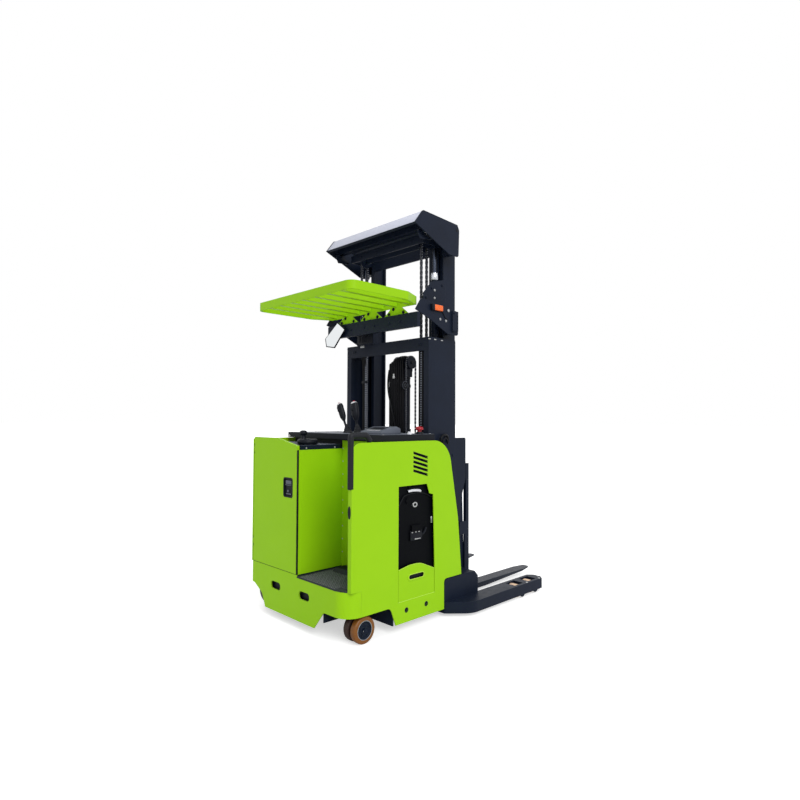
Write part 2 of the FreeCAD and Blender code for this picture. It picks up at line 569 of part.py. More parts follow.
strip = plate("xy", "skirt_top + 1", "panel_top - skirt_top - 1", [[
    ("rear", "hinge_y + hinge_seam"), ("rear", "half_body - strip_width + 14"),
    ("rear + corner_chamfer", "half_body"), ("rear + corner_chamfer + 4", "half_body - skin"),
    ("rear + skin", "half_body - strip_width + 11"), ("rear + skin", "hinge_y + hinge_seam")]])
node("corner_strip", strip)

# ---------------------------------------------------------------- battery gates
gate_points = [("rear + window_rear + gate_gap", "window_bottom + gate_gap"),
               ("rear + window_front - gate_gap", "window_bottom + gate_gap"),
               ("rear + window_front - gate_gap", "gate_top - 44"),
               ("rear + window_front - 150", "gate_top + gate_crown"),
               ("rear + window_rear + 110", "gate_top + gate_crown"),
               ("rear + window_rear + gate_gap", "gate_top")]
hand_slot = [("rear + gate_slot_x", "gate_slot_z"),
             ("rear + gate_slot_x + gate_slot_length", "gate_slot_z"),
             ("rear + gate_slot_x + gate_slot_length", "gate_slot_z + gate_slot_height"),
             ("rear + gate_slot_x", "gate_slot_z + gate_slot_height")]
gate_skin = plate("xz", "-half_body + 1", "skin", [gate_points, hand_slot],
                  rounds=[(3, "200"), (4, "140")])
gate_lip = box("rear + window_rear - 20", "-half_body + skin + seat_gap", "window_bottom - 16",
               "window_front - window_rear + 40", "3", "60")
gate = node("gate_right", fuse(gate_skin, gate_lip))
node("gate_left", mirror(gate))

# ---------------------------------------------------------------- power cabinet
node("cabinet_wall", box("rear + wall_thick", "-cabinet_y", "skirt_top",
                         "cabinet_depth - wall_thick", "wall_thick",
                         "cabinet_top - skirt_top"))
door_out = [("-cabinet_y + door_seam", "skirt_top + door_gap"),
            ("half_body - strip_width - door_gap", "skirt_top + door_gap"),
            ("half_body - strip_width - door_gap", "door_top"),
            ("door_slope_y", "door_top"), ("-cabinet_y + door_seam", "door_low_top")]
door_in = [("-cabinet_y + door_seam + door_skin", "skirt_top + door_gap + door_skin"),
           ("half_body - strip_width - door_gap - door_skin",
            "skirt_top + door_gap + door_skin"),
           ("half_body - strip_width - door_gap - door_skin", "door_top - door_skin"),
           ("door_slope_y", "door_top - door_skin"),
           ("-cabinet_y + door_seam + door_skin", "door_low_top - door_skin")]
latch_low_y, latch_low_z = "latch_y - latch_width/2", "latch_z - latch_height/2"
latch_hole = box("rear - 1", latch_low_y, latch_low_z, "door_thick + 2", "latch_width",
                 "latch_height")
door = cut(plate("yz", "rear", "door_thick", [door_out]),
           plate("yz", "rear + door_skin", "door_thick", [door_in]), latch_hole)


def hinge_bar(low, start, radius, height):
    """Upright round bar on the door's hinge line, start above the hinge's foot."""
    return rod("z", "rear + hinge_x", "hinge_y", "%s + %s" % (low, start), radius, height)


door_knuckles, door_spaces, fixed_parts = [], [], []
for low in ("hinge_low", "hinge_high"):
    door_knuckles.append(prism("rear + hinge_x", "hinge_y", low + " + hinge_part", 8,
                               "hinge_round", "hinge_height - 2*hinge_part"))
    door_spaces.append(hinge_bar(low, "0 - weld", "hinge_pin + pin_play",
                                 "hinge_height + 2*weld"))
    for start in (low + " - weld", low + " + hinge_height - hinge_part"):
        door_spaces.append(box("rear - weld", "hinge_y - hinge_notch", start,
                               "hinge_x + hinge_notch + weld", "2*hinge_notch",
                               "hinge_part + weld"))
    fixed_parts.append(hinge_bar(low, "0", "hinge_pin", "hinge_height"))
    fixed_parts.append(box("rear + skin + seat_gap", "hinge_y + hinge_notch - seat_gap", low,
                           "leaf_thick", "8", "hinge_height"))
    for start in ("0", "hinge_height - hinge_part + seat_gap"):
        fixed_parts.append(prism("rear + hinge_x", "hinge_y", "%s + %s" % (low, start), 8,
                                 "hinge_round", "hinge_part - seat_gap"))
        fixed_parts.append(box("rear + skin + seat_gap", "hinge_y", "%s + %s" % (low, start),
                               "leaf_thick", "hinge_notch + weld", "hinge_part - seat_gap"))
node("rear_door", cut(fuse(door, *door_knuckles), *door_spaces))
node("door_hinges", fuse(*fixed_parts))
latch_case = cut(box("rear", latch_low_y + " + seat_gap", latch_low_z + " + seat_gap",
                     "door_thick", "latch_width - 2*seat_gap", "latch_height - 2*seat_gap"),
                 box("rear - 1", latch_low_y + " + 12", latch_low_z + " + 12", "13",
                     "latch_width - 24", "latch_height - 24"))
latch_bar = box("rear + 3", latch_low_y + " + 30", latch_low_z + " + 22", "12",
                "latch_width - 60", "24")
node("door_latch", fuse(latch_case, latch_bar))
node("cabinet_top", plate("xy", "cabinet_top", "band_height", [[
    ("rear + door_thick + gap", "-cabinet_y"), ("rear + cabinet_depth", "-cabinet_y"),
    ("rear + cabinet_depth", "half_body - skin"),
    ("rear + corner_chamfer + 10", "half_body - skin"),
    ("rear + door_thick + gap", "half_body - strip_width - 3")],
    ("rear + wheel_x", "wheel_y", "8 + pin_play")]))

# ---------------------------------------------------------------- operator compartment
mat = plate("xy", "sill_top", "mat_thick", [[
    ("rear + 2", "-half_body + corner_bend"), ("rear + 2", "-cabinet_y - 2"),
    ("rear + cabinet_depth - wall_thick - 2", "-cabinet_y - 2"),
    ("rear + cabinet_depth - wall_thick - 2", "-half_body + skin + 2"),
    ("rear + panel_rear + skin + 2", "-half_body + skin + 2"),
    ("rear + panel_rear + skin + 2", "-half_body + return_depth + 2"),
    ("rear + panel_rear - 2", "-half_body + return_depth + 2")]])
node("floor_mat", mat)
node("floor_pedal", plate("xz", "-cabinet_y - 60 - pedal_width", "pedal_width", [[
    ("rear + cabinet_depth - 12 - pedal_length", "sill_top + mat_thick"),
    ("rear + cabinet_depth - 12", "sill_top + mat_thick"),
    ("rear + cabinet_depth - 12", "sill_top + mat_thick + pedal_height"),
    ("rear + cabinet_depth - 12 - pedal_length*0.8", "sill_top + mat_thick + pedal_height")]]))
node("compartment_wall", box("rear + cabinet_depth - wall_thick", "-half_body + skin",
                             "sill_top", "wall_thick", "half_body - cabinet_y - skin",
                             "panel_top - skin - seat_gap - sill_top"))
grip_out = plate("xz", "-half_body - 4", "grip_width", [[
    ("rear + panel_rear - 14", "grip_low"), ("rear + panel_rear - 14", "grip_top"),
    ("rear + panel_rear - 14 + grip_length", "grip_top"),
    ("rear + panel_rear - 14 + grip_length", "panel_top + seat_gap"),
    ("rear + panel_rear - 14 + grip_length - grip_thick*1.6", "panel_top + seat_gap"),
    ("rear + panel_rear - 14 + grip_length - grip_thick*1.6", "grip_top - grip_thick"),
    ("rear + panel_rear - 14 + grip_thick*0.5", "grip_top - grip_thick"),
    ("rear + panel_rear - seat_gap", "panel_top - panel_rear_round - 10"),
    ("rear + panel_rear - seat_gap", "grip_low")]], rounds=[(1, "46"), (2, "30")])
node("hand_grip", grip_out)

# ---------------------------------------------------------------- console and controls
node("console", fuse(
    box("rear + console_rear", "-half_body + skin + console_inset", "console_z",
        "console_front - console_rear", "2*half_body - 2*skin - 2*console_inset",
        "console_height"),
    box("rear + cabinet_depth", "-half_body + skin + console_inset", "panel_top - console_sink",
        "console_front - cabinet_depth", "2*half_body - 2*skin - 2*console_inset",
        "console_sink + console_z - panel_top + weld")))
console_face = "console_z + console_height"
node("display_pad", plate("xz", "-pad_y - pad_width/2", "pad_width", [[
    ("rear + pad_x - pad_length/2", "console_z + console_height"),
    ("rear + pad_x + pad_length/2", "console_z + console_height"),
    ("rear + pad_x + pad_length/2 - 12", "console_z + console_height + pad_height"),
    ("rear + pad_x - pad_length/2 + 6", "console_z + console_height + pad_height*0.4")]]))



def stick(y, lean):
    """Control lever with its boot: y and lean are size names or formulas."""
    middle = "rear + stick_x"
    return [prism(middle, y, console_face, 8, "boot_round", "boot_height*0.4"),
            prism(middle, y, console_face, 8, "boot_round*0.62", "boot_height"),
            prism(middle, y, console_face + " + boot_height*0.5", 8, "stick_round*0.8",
                  "stick_length*0.7",
                  lean),
            prism(middle, "%s + sin(%s)*stick_length*0.62" % (y, lean),
                  "%s + cos(%s)*stick_length*0.62" % (console_face, lean), 8, "stick_round",
                  "stick_length*0.45", lean)]


node("control_levers", fuse(*stick("-stick_right_y", "stick_right_lean"),
                            *stick("stick_left_y", "stick_left_lean")))
node("emergency_stop", fuse(
    prism("rear + stop_x", "-stop_y", console_face, 12, "stop_round*0.8", "stop_height*0.55"),
    prism("rear + stop_x", "-stop_y", console_face + " + stop_height*0.5", 12, "stop_round",
          "stop_height*0.5")))
wheel_foot = "cabinet_top + band_height"
node("steering_wheel", fuse(
    rod("z", "rear + wheel_x", "wheel_y", wheel_foot + " - 6", "8", "7"),
    prism("rear + wheel_x", "wheel_y", wheel_foot + " + weld*0.5", 16, "wheel_round",
          "wheel_height"),
    prism("rear + knob_x", "knob_y", wheel_foot + " + wheel_height - weld", 10,
          "knob_round*0.7", "knob_height*0.6"),
    prism("rear + knob_x", "knob_y", wheel_foot + " + wheel_height + knob_height*0.5", 10,
          "knob_round", "knob_height*0.5")))

# ---------------------------------------------------------------- mast
def rail(stage, top, bottom, outer, inner, kind):
    """One right-hand mast rail: a channel open inwards ("c") or an I section ("i")."""
    front = "rear + mast_front - %d*stage_step" % stage
    back = front + " - rail_depth"
    if kind == "c":
        points = [(back, "-" + outer), (front, "-" + outer), (front, "-" + inner),
                  (front + " - flange", "-" + inner), (front + " - flange", "-%s + web" % outer),
                  (back + " + flange", "-%s + web" % outer), (back + " + flange", "-" + inner),
                  (back, "-" + inner)]
    else:
        mid = "(%s + %s)/2" % (outer, inner)
        points = [(back, "-" + outer), (back, "-" + inner), (back + " + flange", "-" + inner),
                  (back + " + flange", "-%s + web/2" % mid),
                  (front + " - flange", "-%s + web/2" % mid), (front + " - flange", "-" + inner),
                  (front, "-" + inner), (front, "-" + outer), (front + " - flange", "-" + outer),
                  (front + " - flange", "-%s - web/2" % mid),
                  (back + " + flange", "-%s - web/2" % mid), (back + " + flange", "-" + outer)]
    return plate("xy", bottom, "%s - %s" % (top, bottom), [points])


back_face = "rear + mast_front - rail_depth"
outer_rail = rail(0, "outer_top", "outer_bottom", "outer_web", "outer_mouth", "c")
cheek_parts = [
    box("rear + cheek_rear", "-outer_web - cheek", "base_top", "mast_front - cheek_rear",
        "cheek", "cheek_top - base_top"),
    box("rear + cheek_rear", "-cheek_out", "cheek_low", "cheek_front - cheek_rear", "cheek",
        "cheek_top - cheek_low"),
    box("rear + cheek_rear", "-cheek_out + weld", "cheek_low", "cheek",
        "cheek_out - outer_web - 2*weld", "cheek_top - cheek_low"),
    box("rear + cheek_front - cheek", "-cheek_out + weld", "cheek_low", "cheek",
        "cheek_out - outer_web - 2*weld", "cheek_top - cheek_low"),
    box("rear + cheek_rear", "-outer_web - weld", "cheek_top - cheek_tie",
        "cheek_web_front - cheek_rear", "web + weld", "cheek_tie"),
    plate("xz", "-outer_web - cheek", "cheek", [[
        ("rear + ear_rear", "ear_low"), ("rear + ear_rear", "(ear_low + ear_high)/2"),
        ("rear + (ear_rear + ear_front)/2 - 37", "ear_high - 41"),
        ("rear + ear_front", "ear_high"), ("rear + ear_front", "ear_low")]]),
    box("rear + outer_tie_x", "-outer_web", "outer_tie_z",
        "mast_front - rail_depth - outer_tie_x + weld", "web", "tie_height"),
    box("rear + cheek_rear + tie_thick - weld", "-chain_y - chain_width/2",
        "chain_low - 60", "chain_x - chain_turn - chain_thick/2 - gap - cheek_rear - tie_thick",
        "chain_width", "55")]
node("mast_outer", fuse(
    both(outer_rail), *cheek_parts, *[mirror(item) for item in cheek_parts],
    box("rear + cheek_rear", "-outer_web", "cheek_top - cheek_tie", "tie_thick",
        "2*outer_web", "cheek_tie"),
    box("rear + outer_tie_x", "-outer_web", "outer_tie_z", "tie_thick", "2*outer_web",
        "tie_height"),
    box("rear + valve_rear", "valve_y", "cheek_top - weld", "valve_depth", "valve_width",
        "valve_height")))

middle_rail = rail(1, "middle_top", "middle_bottom", "middle_outer", "middle_inner", "i")
middle_parts = [middle_rail] + [
    cross_bar(back_face + " + rail_depth/2", "-outer_web + web + seat_gap", level, 14,
              "mast_roller", "outer_web - web - seat_gap - (middle_outer + middle_inner)/2")
    for level in ("middle_bottom + 80", "middle_bottom + 420")]
middle_arm_length = "mast_front - rail_depth - stage_step - middle_tie_x + weld"
for low in ("middle_tie_z", "middle_low_tie"):
    middle_parts.append(box("rear + middle_tie_x", "-middle_arm", low, middle_arm_length,
                            "middle_arm_thick", "tie_height"))
    middle_parts.append(box("rear + middle_tie_x", "-middle_arm", low, "tie_thick",
                            "middle_arm - chain_y + chain_width/2 + 2", "tie_height - 15"))
rod_head = box("rear + side_x - side_rod", "-side_y - side_rod", "middle_tie_z",
               "2*side_rod", "side_y + side_rod - middle_arm + weld", "tie_height")
side_piston = rod("z", "rear + side_x", "-side_y", "rod_low", "side_rod",
                  "middle_tie_z - rod_low + weld")
chain_wheel = [
    cross_bar("rear + chain_x", "-chain_y - chain_width/2", "chain_z", 12,
              "chain_turn - chain_thick/2 - seat_gap", "chain_width + 2"),
    cross_bar("rear + chain_x", "-chain_y + chain_width/2 + weld", "chain_z", 20,
              "chain_guard", "4")]
middle_parts += [rod_head, side_piston] + chain_wheel
tie_half = "chain_y - chain_width/2 - 2"
node("mast_middle", fuse(
    *middle_parts, *[mirror(item) for item in middle_parts],
    box("rear + middle_tie_x", "-(%s)" % tie_half, "middle_tie_z", "tie_thick",
        "2*(%s)" % tie_half, "tie_height"),
    box("rear + middle_tie_x", "-(%s)" % tie_half, "middle_low_tie", "tie_thick",
        "2*(%s)" % tie_half, "tie_height")))

inner_rail = rail(2, "inner_top", "inner_bottom", "inner_outer", "inner_mouth", "c")
inner_back = "rear + mast_front - rail_depth - 2*stage_step"
middle_web_face = "(middle_outer + middle_inner)/2 - web/2"
inner_rollers = [cross_bar(inner_back + " + rail_depth/2 + stage_step",
                           "-(%s) + seat_gap" % middle_web_face, level, 14, "mast_roller",
                           "%s - seat_gap - inner_outer + 1" % middle_web_face)
                 for level in ("inner_bottom + 80", "inner_bottom + 420")]
chain_lug = box("rear + chain_x + chain_turn + chain_thick/2 + gap",
                "-inner_outer", "inner_bottom",
                "mast_front - rail_depth - 2*stage_step - chain_x - chain_turn"
                " - chain_thick/2 - gap + weld", "12", "30")
node("mast_inner", fuse(
    inner_rail, mirror(inner_rail), *inner_rollers, *[mirror(item) for item in inner_rollers],
    chain_lug, mirror(chain_lug),
    box(inner_back, "-inner_outer + web - 1", "inner_bottom", "rail_depth",
        "2*inner_outer - 2*web + 2", "30"),
    box(inner_back, "-inner_mouth - 1", "inner_top - 100", "tie_thick", "2*inner_mouth + 2",
        "100")))

# ---------------------------------------------------------------- lift chains
chain_out, chain_in = "(chain_turn + chain_thick/2)", "(chain_turn - chain_thick/2)"
chain_path = [("rear + chain_x - " + chain_out, "chain_low"),
              ("rear + chain_x - " + chain_out, "chain_z + %s" % chain_out),
              ("rear + chain_x + " + chain_out, "chain_z + %s" % chain_out),
              ("rear + chain_x + " + chain_out, "chain_inner_low"),
              ("rear + chain_x + " + chain_in, "chain_inner_low"),
              ("rear + chain_x + " + chain_in, "chain_z + %s" % chain_in),
              ("rear + chain_x - " + chain_in, "chain_z + %s" % chain_in),
              ("rear + chain_x - " + chain_in, "chain_low")]
right_chain = node("lift_chain_right", plate(
    "xz", "-chain_y - chain_width/2", "chain_width", [chain_path],
    rounds=[(1, chain_out + " - 0.5"), (2, chain_out + " - 0.5"),
            (5, chain_in + " - 0.3"), (6, chain_in + " - 0.3")]))
node("lift_chain_left", mirror(right_chain))

# ---------------------------------------------------------------- lift cylinders
side_tube = turned("rear + side_x", "-side_y", "0", [
    ("side_bore", "base_top + seat_gap + 12"), ("side_bore", "side_top"),
    ("side_tube", "side_top"), ("side_tube", "base_top + seat_gap"),
    ("0", "base_top + seat_gap"), ("0", "base_top + seat_gap + 12")], axis="z")
cylinder_right = node("lift_cylinder_right", side_tube)
node("lift_cylinder_left", mirror(side_tube))
node("centre_cylinder", turned("rear + centre_x", "0", "0", [
    ("centre_tube*0.7", "inner_bottom + 60"), ("centre_tube*0.7", "centre_top"),
    ("centre_tube", "centre_top"), ("centre_tube", "inner_bottom + 30"),
    ("0", "inner_bottom + 30"), ("0", "inner_bottom + 60")], axis="z"))
head_z = "centre_top + crosshead_height - sheave_radius - 6"
sheave_at = "crosshead_width/2 - sheave_width - 4"
sheaves = [cross_bar("rear + centre_x", start, head_z, 20, "sheave_radius", "sheave_width")
           for start in ("-crosshead_width/2 + 4", "crosshead_width/2 - 4 - sheave_width")]
node("crosshead", fuse(
    box("rear + centre_x - 34", "-(%s) + 3" % sheave_at, "centre_top + seat_gap", "68",
        "2*(%s) - 6" % sheave_at, "crosshead_height - 30"),
    rod("z", "rear + centre_x", "0", "inner_bottom + 70", "centre_tube*0.7 - gap",
        "centre_top - inner_bottom - 68"),
    box("rear + centre_x - 12", "-crosshead_width/2", head_z + " - 12", "24",
        "crosshead_width", "24"), *sheaves))
strand_y = "crosshead_width/2 - 4 - sheave_width/2"
strands = []
for x, low in (("centre_x - sheave_radius - 7", "inner_bottom + 40"),
               ("centre_x + sheave_radius + seat_gap", "pivot_z + 100")):
    one = box("rear + " + x, "-(%s) - 9" % strand_y, low, "7 - seat_gap", "18",
              "%s - (%s)" % (head_z, low))
    strands += [one, mirror(one)]
over = cut(plate("xz", "-(%s) - 9" % strand_y, "18", [[
    ("rear + centre_x - sheave_radius - 7", head_z),
    ("rear + centre_x - sheave_radius - 7", head_z + " + sheave_radius + 7"),
    ("rear + centre_x + sheave_radius + 7", head_z + " + sheave_radius + 7"),
    ("rear + centre_x + sheave_radius + 7", head_z)]],
    rounds=[(1, "sheave_radius + 6.5"), (2, "sheave_radius + 6.5")]),
    rod("y", "rear + centre_x", "-(%s) - 10" % strand_y, head_z, "sheave_radius + seat_gap",
        "20"))
node("free_lift_chains", fuse(*strands, over, mirror(over)))

# ---------------------------------------------------------------- lift carriage
side_plate = plate("xz", "-plate_outer", "plate_thick", [[
    ("rear + plate_rear", "plate_top"), ("rear + plate_front", "plate_top"),
    ("rear + plate_front", "plate_low"), ("rear + plate_tip_x", "plate_tip"),
    ("rear + plate_rear", "plate_tip")]], rounds=[(1, "14"), (2, "60")])
frame_x = "rear + mast_front + frame_gap"
top_beam = box(frame_x, "-plate_outer + plate_thick", "plate_top - 102",
               "plate_front - mast_front - 25", "2*plate_outer - 2*plate_thick", "90")
upright = box(frame_x, "-frame_inner - plate_thick", "low_beam_z", "23", "plate_thick",
              "plate_top - 102 - low_beam_z")
channel_low_z = "pivot_z - arm_length - roller_radius - 12"
channel_high_z = "pivot_z - arm_length*0.64"
channel_body = box("rear + pivot_x - roller_radius - 9", "-arm_b_outer + arm_thick + gap",
                   "190", "2*roller_radius + 18", "-(-arm_b_outer + arm_thick + gap) - frame_inner",
                   channel_high_z + " + 10 - 190")
channel_slot = box("rear + pivot_x - roller_radius - 1", "-arm_b_outer + arm_thick + gap - 1",
                   channel_low_z, "2*roller_radius + 2",
                   "arm_b_outer - arm_thick - gap - frame_inner - plate_thick + 1",
                   "(%s) - (%s)" % (channel_high_z, channel_low_z))
low_beam = box(frame_x, "-frame_inner - plate_thick", "190", "68",
               "2*frame_inner + 2*plate_thick", "70")
guide = plate("xz", "-inner_mouth + 8", "15", [[
    (inner_back + " + 25", "low_beam_z + 10"), ("rear + mast_front + 8", "low_beam_z + 10"),
    ("rear + mast_front + 8", "plate_top - 20"), (inner_back + " + 25", "plate_top - 20"),
    (inner_back + " + 25", "plate_top - 200"), ("rear + mast_front - 60", "plate_top - 330"),
    ("rear + mast_front - 60", "low_beam_z + 340"), (inner_back + " + 25", "low_beam_z + 210")]])
guide_rollers = [cross_bar(inner_back + " + rail_depth/2", "-inner_outer + web + seat_gap",
                           level, 14, "rail_depth/2 - flange - 5",
                           "inner_outer - web - seat_gap - inner_mouth + 9")
                 for level in ("low_beam_z + 80", "plate_top - 90")]
pivot_pin = rod("y", "rear + pivot_x", "-plate_outer + 1", "pivot_z", "pin_radius - pin_play",
                "plate_outer - arm_a_outer + arm_thick - 1")
chain_bar = box("rear + centre_x + 75", "-inner_mouth + 10", "pivot_z + 40",
                "mast_front + 8 - centre_x - 75", "2*inner_mouth - 20", "50")
half_carriage = [cut(channel_body, channel_slot), side_plate, upright, guide, *guide_rollers,
                 pivot_pin]
node("lift_carriage", fuse(*half_carriage, *[mirror(item) for item in half_carriage],
                           top_beam, low_beam, chain_bar))


# ---------------------------------------------------------------- reach arms
def arm(outer, top_x, lean, crossing):
    """One reach arm hung from its top pivot.

    lean is +1 towards the forks and -1 towards the mast; crossing holds its middle hole, if any.
    """
    blade = plate("xz", "-" + outer, "arm_thick", [
        [("-arm_width/2", "arm_width*0.2"), ("-arm_width*0.2", "arm_width/2"),
         ("arm_width*0.2", "arm_width/2"), ("arm_width/2", "arm_width*0.2"),
         ("arm_width/2", "-arm_length - arm_width*0.2"),
         ("arm_width*0.2", "-arm_length - arm_width/2"),
         ("-arm_width*0.2", "-arm_length - arm_width/2"),
         ("-arm_width/2", "-arm_length - arm_width*0.2")],
        ("0", "0", "pin_radius")] + crossing)
    blade.Placement = FreeCAD.Placement(
        FreeCAD.Vector(), FreeCAD.Rotation(FreeCAD.Vector(0, -lean, 0), 2))
    blade.setExpression("Placement.Rotation.Angle", bind("asin(arm_offset/arm_length)"))
    return place(blade, "rear + " + top_x, "-%s + arm_thick" % outer, "pivot_z")


drop = "sqrt(arm_length*arm_length - arm_offset*arm_offset)"
arm_a = arm("arm_a_outer", "pivot_x", 1, [])
roller_a = cross_bar("rear + pivot_x + arm_offset", "-plate_outer",
                     "pivot_z - " + drop, 12, "roller_radius - 0.5",
                     "plate_outer - arm_a_outer + 1")
mid_shaft = rod("y", "rear + pivot_x + arm_offset/2", "-arm_a_outer + 1",
                "pivot_z - %s/2" % drop, "pin_radius - pin_play", "2*arm_a_outer - 2")
node("reach_arm_a", fuse(arm_a, roller_a, mirror(arm_a), mirror(roller_a), mid_shaft))
arm_b = arm("arm_b_outer", "pivot_x + arm_offset", -1, [("0", "-arm_length/2", "pin_radius")])
roller_b = cross_bar("rear + pivot_x", "-arm_b_outer + arm_thick - 1", "pivot_z - " + drop, 12,
                     "roller_radius - 0.5",
                     "arm_b_outer - arm_thick - frame_inner - plate_thick - 3")
torque_tube = cross_bar("rear + pivot_x + arm_offset*0.75", "-arm_b_outer + arm_thick - 1",
                        "pivot_z - %s/4" % drop, 12, "20",
                        "2*arm_b_outer - 2*arm_thick + 2")
node("reach_arm_b", fuse(arm_b, roller_b, mirror(arm_b), mirror(roller_b), torque_tube))

# ---------------------------------------------------------------- reach carriage
post = box("rear + post_front - post_depth", "-plate_outer", "post_bottom", "post_depth",
           "plate_outer - post_inner", "post_top - post_bottom")
top_tube = box("rear + post_front - post_depth", "-plate_outer", "post_top - tube_side",
               "post_depth", "2*plate_outer", "tube_side")
block = box("rear + tilt_x - 49", "-plate_outer", "post_bottom",
            "post_front - post_depth - tilt_x + 50", "plate_outer - arm_a_outer - gap",
            "block_top - post_bottom")
block_slot = box("rear + pivot_x + arm_offset - roller_radius - 1", "-plate_outer - 1",
                 channel_low_z, "2*roller_radius + 2", "plate_outer - arm_a_outer",
                 "(%s) - (%s)" % (channel_high_z, channel_low_z))
ear = box("rear + pivot_x + arm_offset - 26", "-arm_b_outer + arm_thick + gap", "pivot_z - 30",
          "post_front - pivot_x - arm_offset + 20", "ear_thick", "post_top - pivot_z + 30")
reach_pin = rod("y", "rear + pivot_x + arm_offset", "-arm_b_outer", "pivot_z",
                "pin_radius - pin_play", "arm_thick + gap + 2")
half_reach = [post, cut(block, block_slot), ear, reach_pin]
node("reach_carriage", fuse(
    *half_reach, *[mirror(item) for item in half_reach], top_tube,
    rod("y", "rear + tilt_x", "-arm_a_outer - gap - 1", "tilt_z", "pin_radius - pin_play",
        "2*arm_a_outer + 2*gap + 2")))

# ---------------------------------------------------------------- fork frame and forks
bars = [box("rear + bar_rear", "-bar_half", "bar_low", "bar_thick", "2*bar_half",
            "bar_low_height"),
        box("rear + bar_rear", "-bar_half", "bar_high", "bar_thick", "2*bar_half",
            "bar_high_height")]
ear_plate = plate("xz", "-ear_y - ear_thick", "ear_thick", [[
    ("rear + tilt_x - 26", "tilt_z - 24"), ("rear + bar_rear + 1", "tilt_z - 30"),
    ("rear + bar_rear + 1", "bar_low + bar_low_height"),
    ("rear + tilt_x - 26", "tilt_z + 24")], ("rear + tilt_x", "tilt_z", "pin_radius")])
stile = box("rear + bar_rear", "-ear_y - ear_thick - 20", "bar_low + 1", "bar_thick", "56",
            "bar_high - bar_low + 5")
node("fork_frame", fuse(*bars, ear_plate, mirror(ear_plate), stile, mirror(stile)))
fork_x = "rear + bar_rear + bar_thick"
side_view = plate("xz", "-fork_inner - fork_width", "fork_width", [[
    (fork_x, "fork_bottom"), (fork_x, "fork_shank_top"), (fork_x + " + shank", "fork_shank_top"),
    (fork_x + " + shank", "fork_bottom + fork_thick"),
    ("rear + fork_tip", "fork_bottom + fork_thick"),
    ("rear + fork_tip", "fork_bottom + fork_thick - fork_tip_thick"),
    ("rear + fork_tip - fork_taper", "fork_bottom")]], rounds=[(0, "18"), (3, "12")])
fork_mid = "-fork_inner - fork_width/2"
plan_view = plate("xy", "fork_bottom - 1", "fork_shank_top", [[
    (fork_x + " - 1", "-fork_inner - fork_width"), ("rear + fork_tip - 130", "-fork_inner - fork_width"),
    ("rear + fork_tip", fork_mid + " - 32"), ("rear + fork_tip", fork_mid + " + 32"),
    ("rear + fork_tip - 130", "-fork_inner"), (fork_x + " - 1", "-fork_inner")]],
    rounds=[(2, "24"), (3, "24")])
fork = doc.addObject("Part::MultiCommon", "fork_blade")
fork.Shapes = [side_view, plan_view]
node("fork_right", fork)
node("fork_left", mirror(fork))

# ---------------------------------------------------------------- guards
cap = plate("xz", "-guard_plate", "guard_thick", [[
    ("rear + guard_rear", "guard_top - guard_lip"), ("rear + guard_rear + guard_nose", "guard_top"),
    ("rear + guard_front", "guard_top - 20"), ("rear + guard_front + 21", "guard_top - guard_front_drop"),
    ("rear + guard_front + 13", "guard_top - guard_front_low"),
    ("rear + guard_hollow", "guard_top - guard_front_low + 4")]],
    rounds=[(1, "30"), (3, "20"), (4, "20")])
slope = plate("xz", "-guard_plate + guard_thick", "2*guard_plate - 2*guard_thick", [[
    ("rear + guard_rear + 8", "guard_top - guard_lip + 3"),
    ("rear + guard_rear + guard_nose - 1", "guard_top - 8"),
    ("rear + guard_rear + guard_nose + 15", "guard_top - 8 - guard_skin/2"),
    ("rear + guard_rear + 20", "guard_top - guard_lip - guard_skin + 3")]])
cap_bracket = box("rear + guard_bracket_x", "-guard_plate + guard_thick - 1",
                  "guard_top - guard_bracket_drop", "guard_bracket",
                  "guard_plate - guard_thick - outer_web - seat_gap + 1", "guard_bracket_high")
node("top_guard", fuse(
    cap, mirror(cap), slope, cap_bracket, mirror(cap_bracket),
    box("rear + guard_rear + guard_stay - 28", "-guard_plate + 1", "guard_top - guard_stay_drop",
        "56", "2*guard_plate - 2", "56")))

roof_plan = [("rear + roof_rear", "-roof_half"), ("rear + roof_rear", "roof_half"),
             ("rear + roof_slope_x", "roof_half"), ("rear + roof_front", "roof_front_half"),
             ("rear + roof_front", "-roof_front_half"), ("rear + roof_slope_x", "-roof_half")]
hole_plan = [("rear + roof_rear + roof_wall", "-roof_half + roof_wall"),
             ("rear + roof_rear + roof_wall", "roof_half - roof_wall"),
             ("rear + roof_slope_x - 2", "roof_half - roof_wall"),
             ("rear + roof_front - roof_wall", "roof_front_half - roof_wall"),
             ("rear + roof_front - roof_wall", "-roof_front_half + roof_wall"),
             ("rear + roof_slope_x - 2", "-roof_half + roof_wall")]
rim = cut(plate("xy", "roof_bottom", "roof_height", [roof_plan],
                rounds=[(0, "roof_round"), (1, "roof_round")]),
          plate("xy", "roof_bottom - 1", "roof_height + 2", [hole_plan],
                rounds=[(0, "roof_round - roof_wall"), (1, "roof_round - roof_wall")]))
slats = [box("rear + roof_rear + 1", "%d*slat_pitch - slat_thick/2" % number,
             "roof_bottom + (roof_height - slat_height)/2", "roof_front - roof_rear - 2",
             "slat_thick", "slat_height") for number in range(-3, 4)]
tabs = [plate("yz", "rear + roof_front - roof_wall", "roof_wall", [[
    ("%d*tab_pitch - tab_foot/2" % number, "beam_bottom + beam_height + seat_gap"),
    ("%d*tab_pitch + tab_foot/2" % number, "beam_bottom + beam_height + seat_gap"),
    ("%d*tab_pitch + tab_head/2" % number, "roof_bottom + 6"),
    ("%d*tab_pitch - tab_head/2" % number, "roof_bottom + 6")]]) for number in (-1, 0, 1)]
node("overhead_guard", fuse(rim, *slats, *tabs))

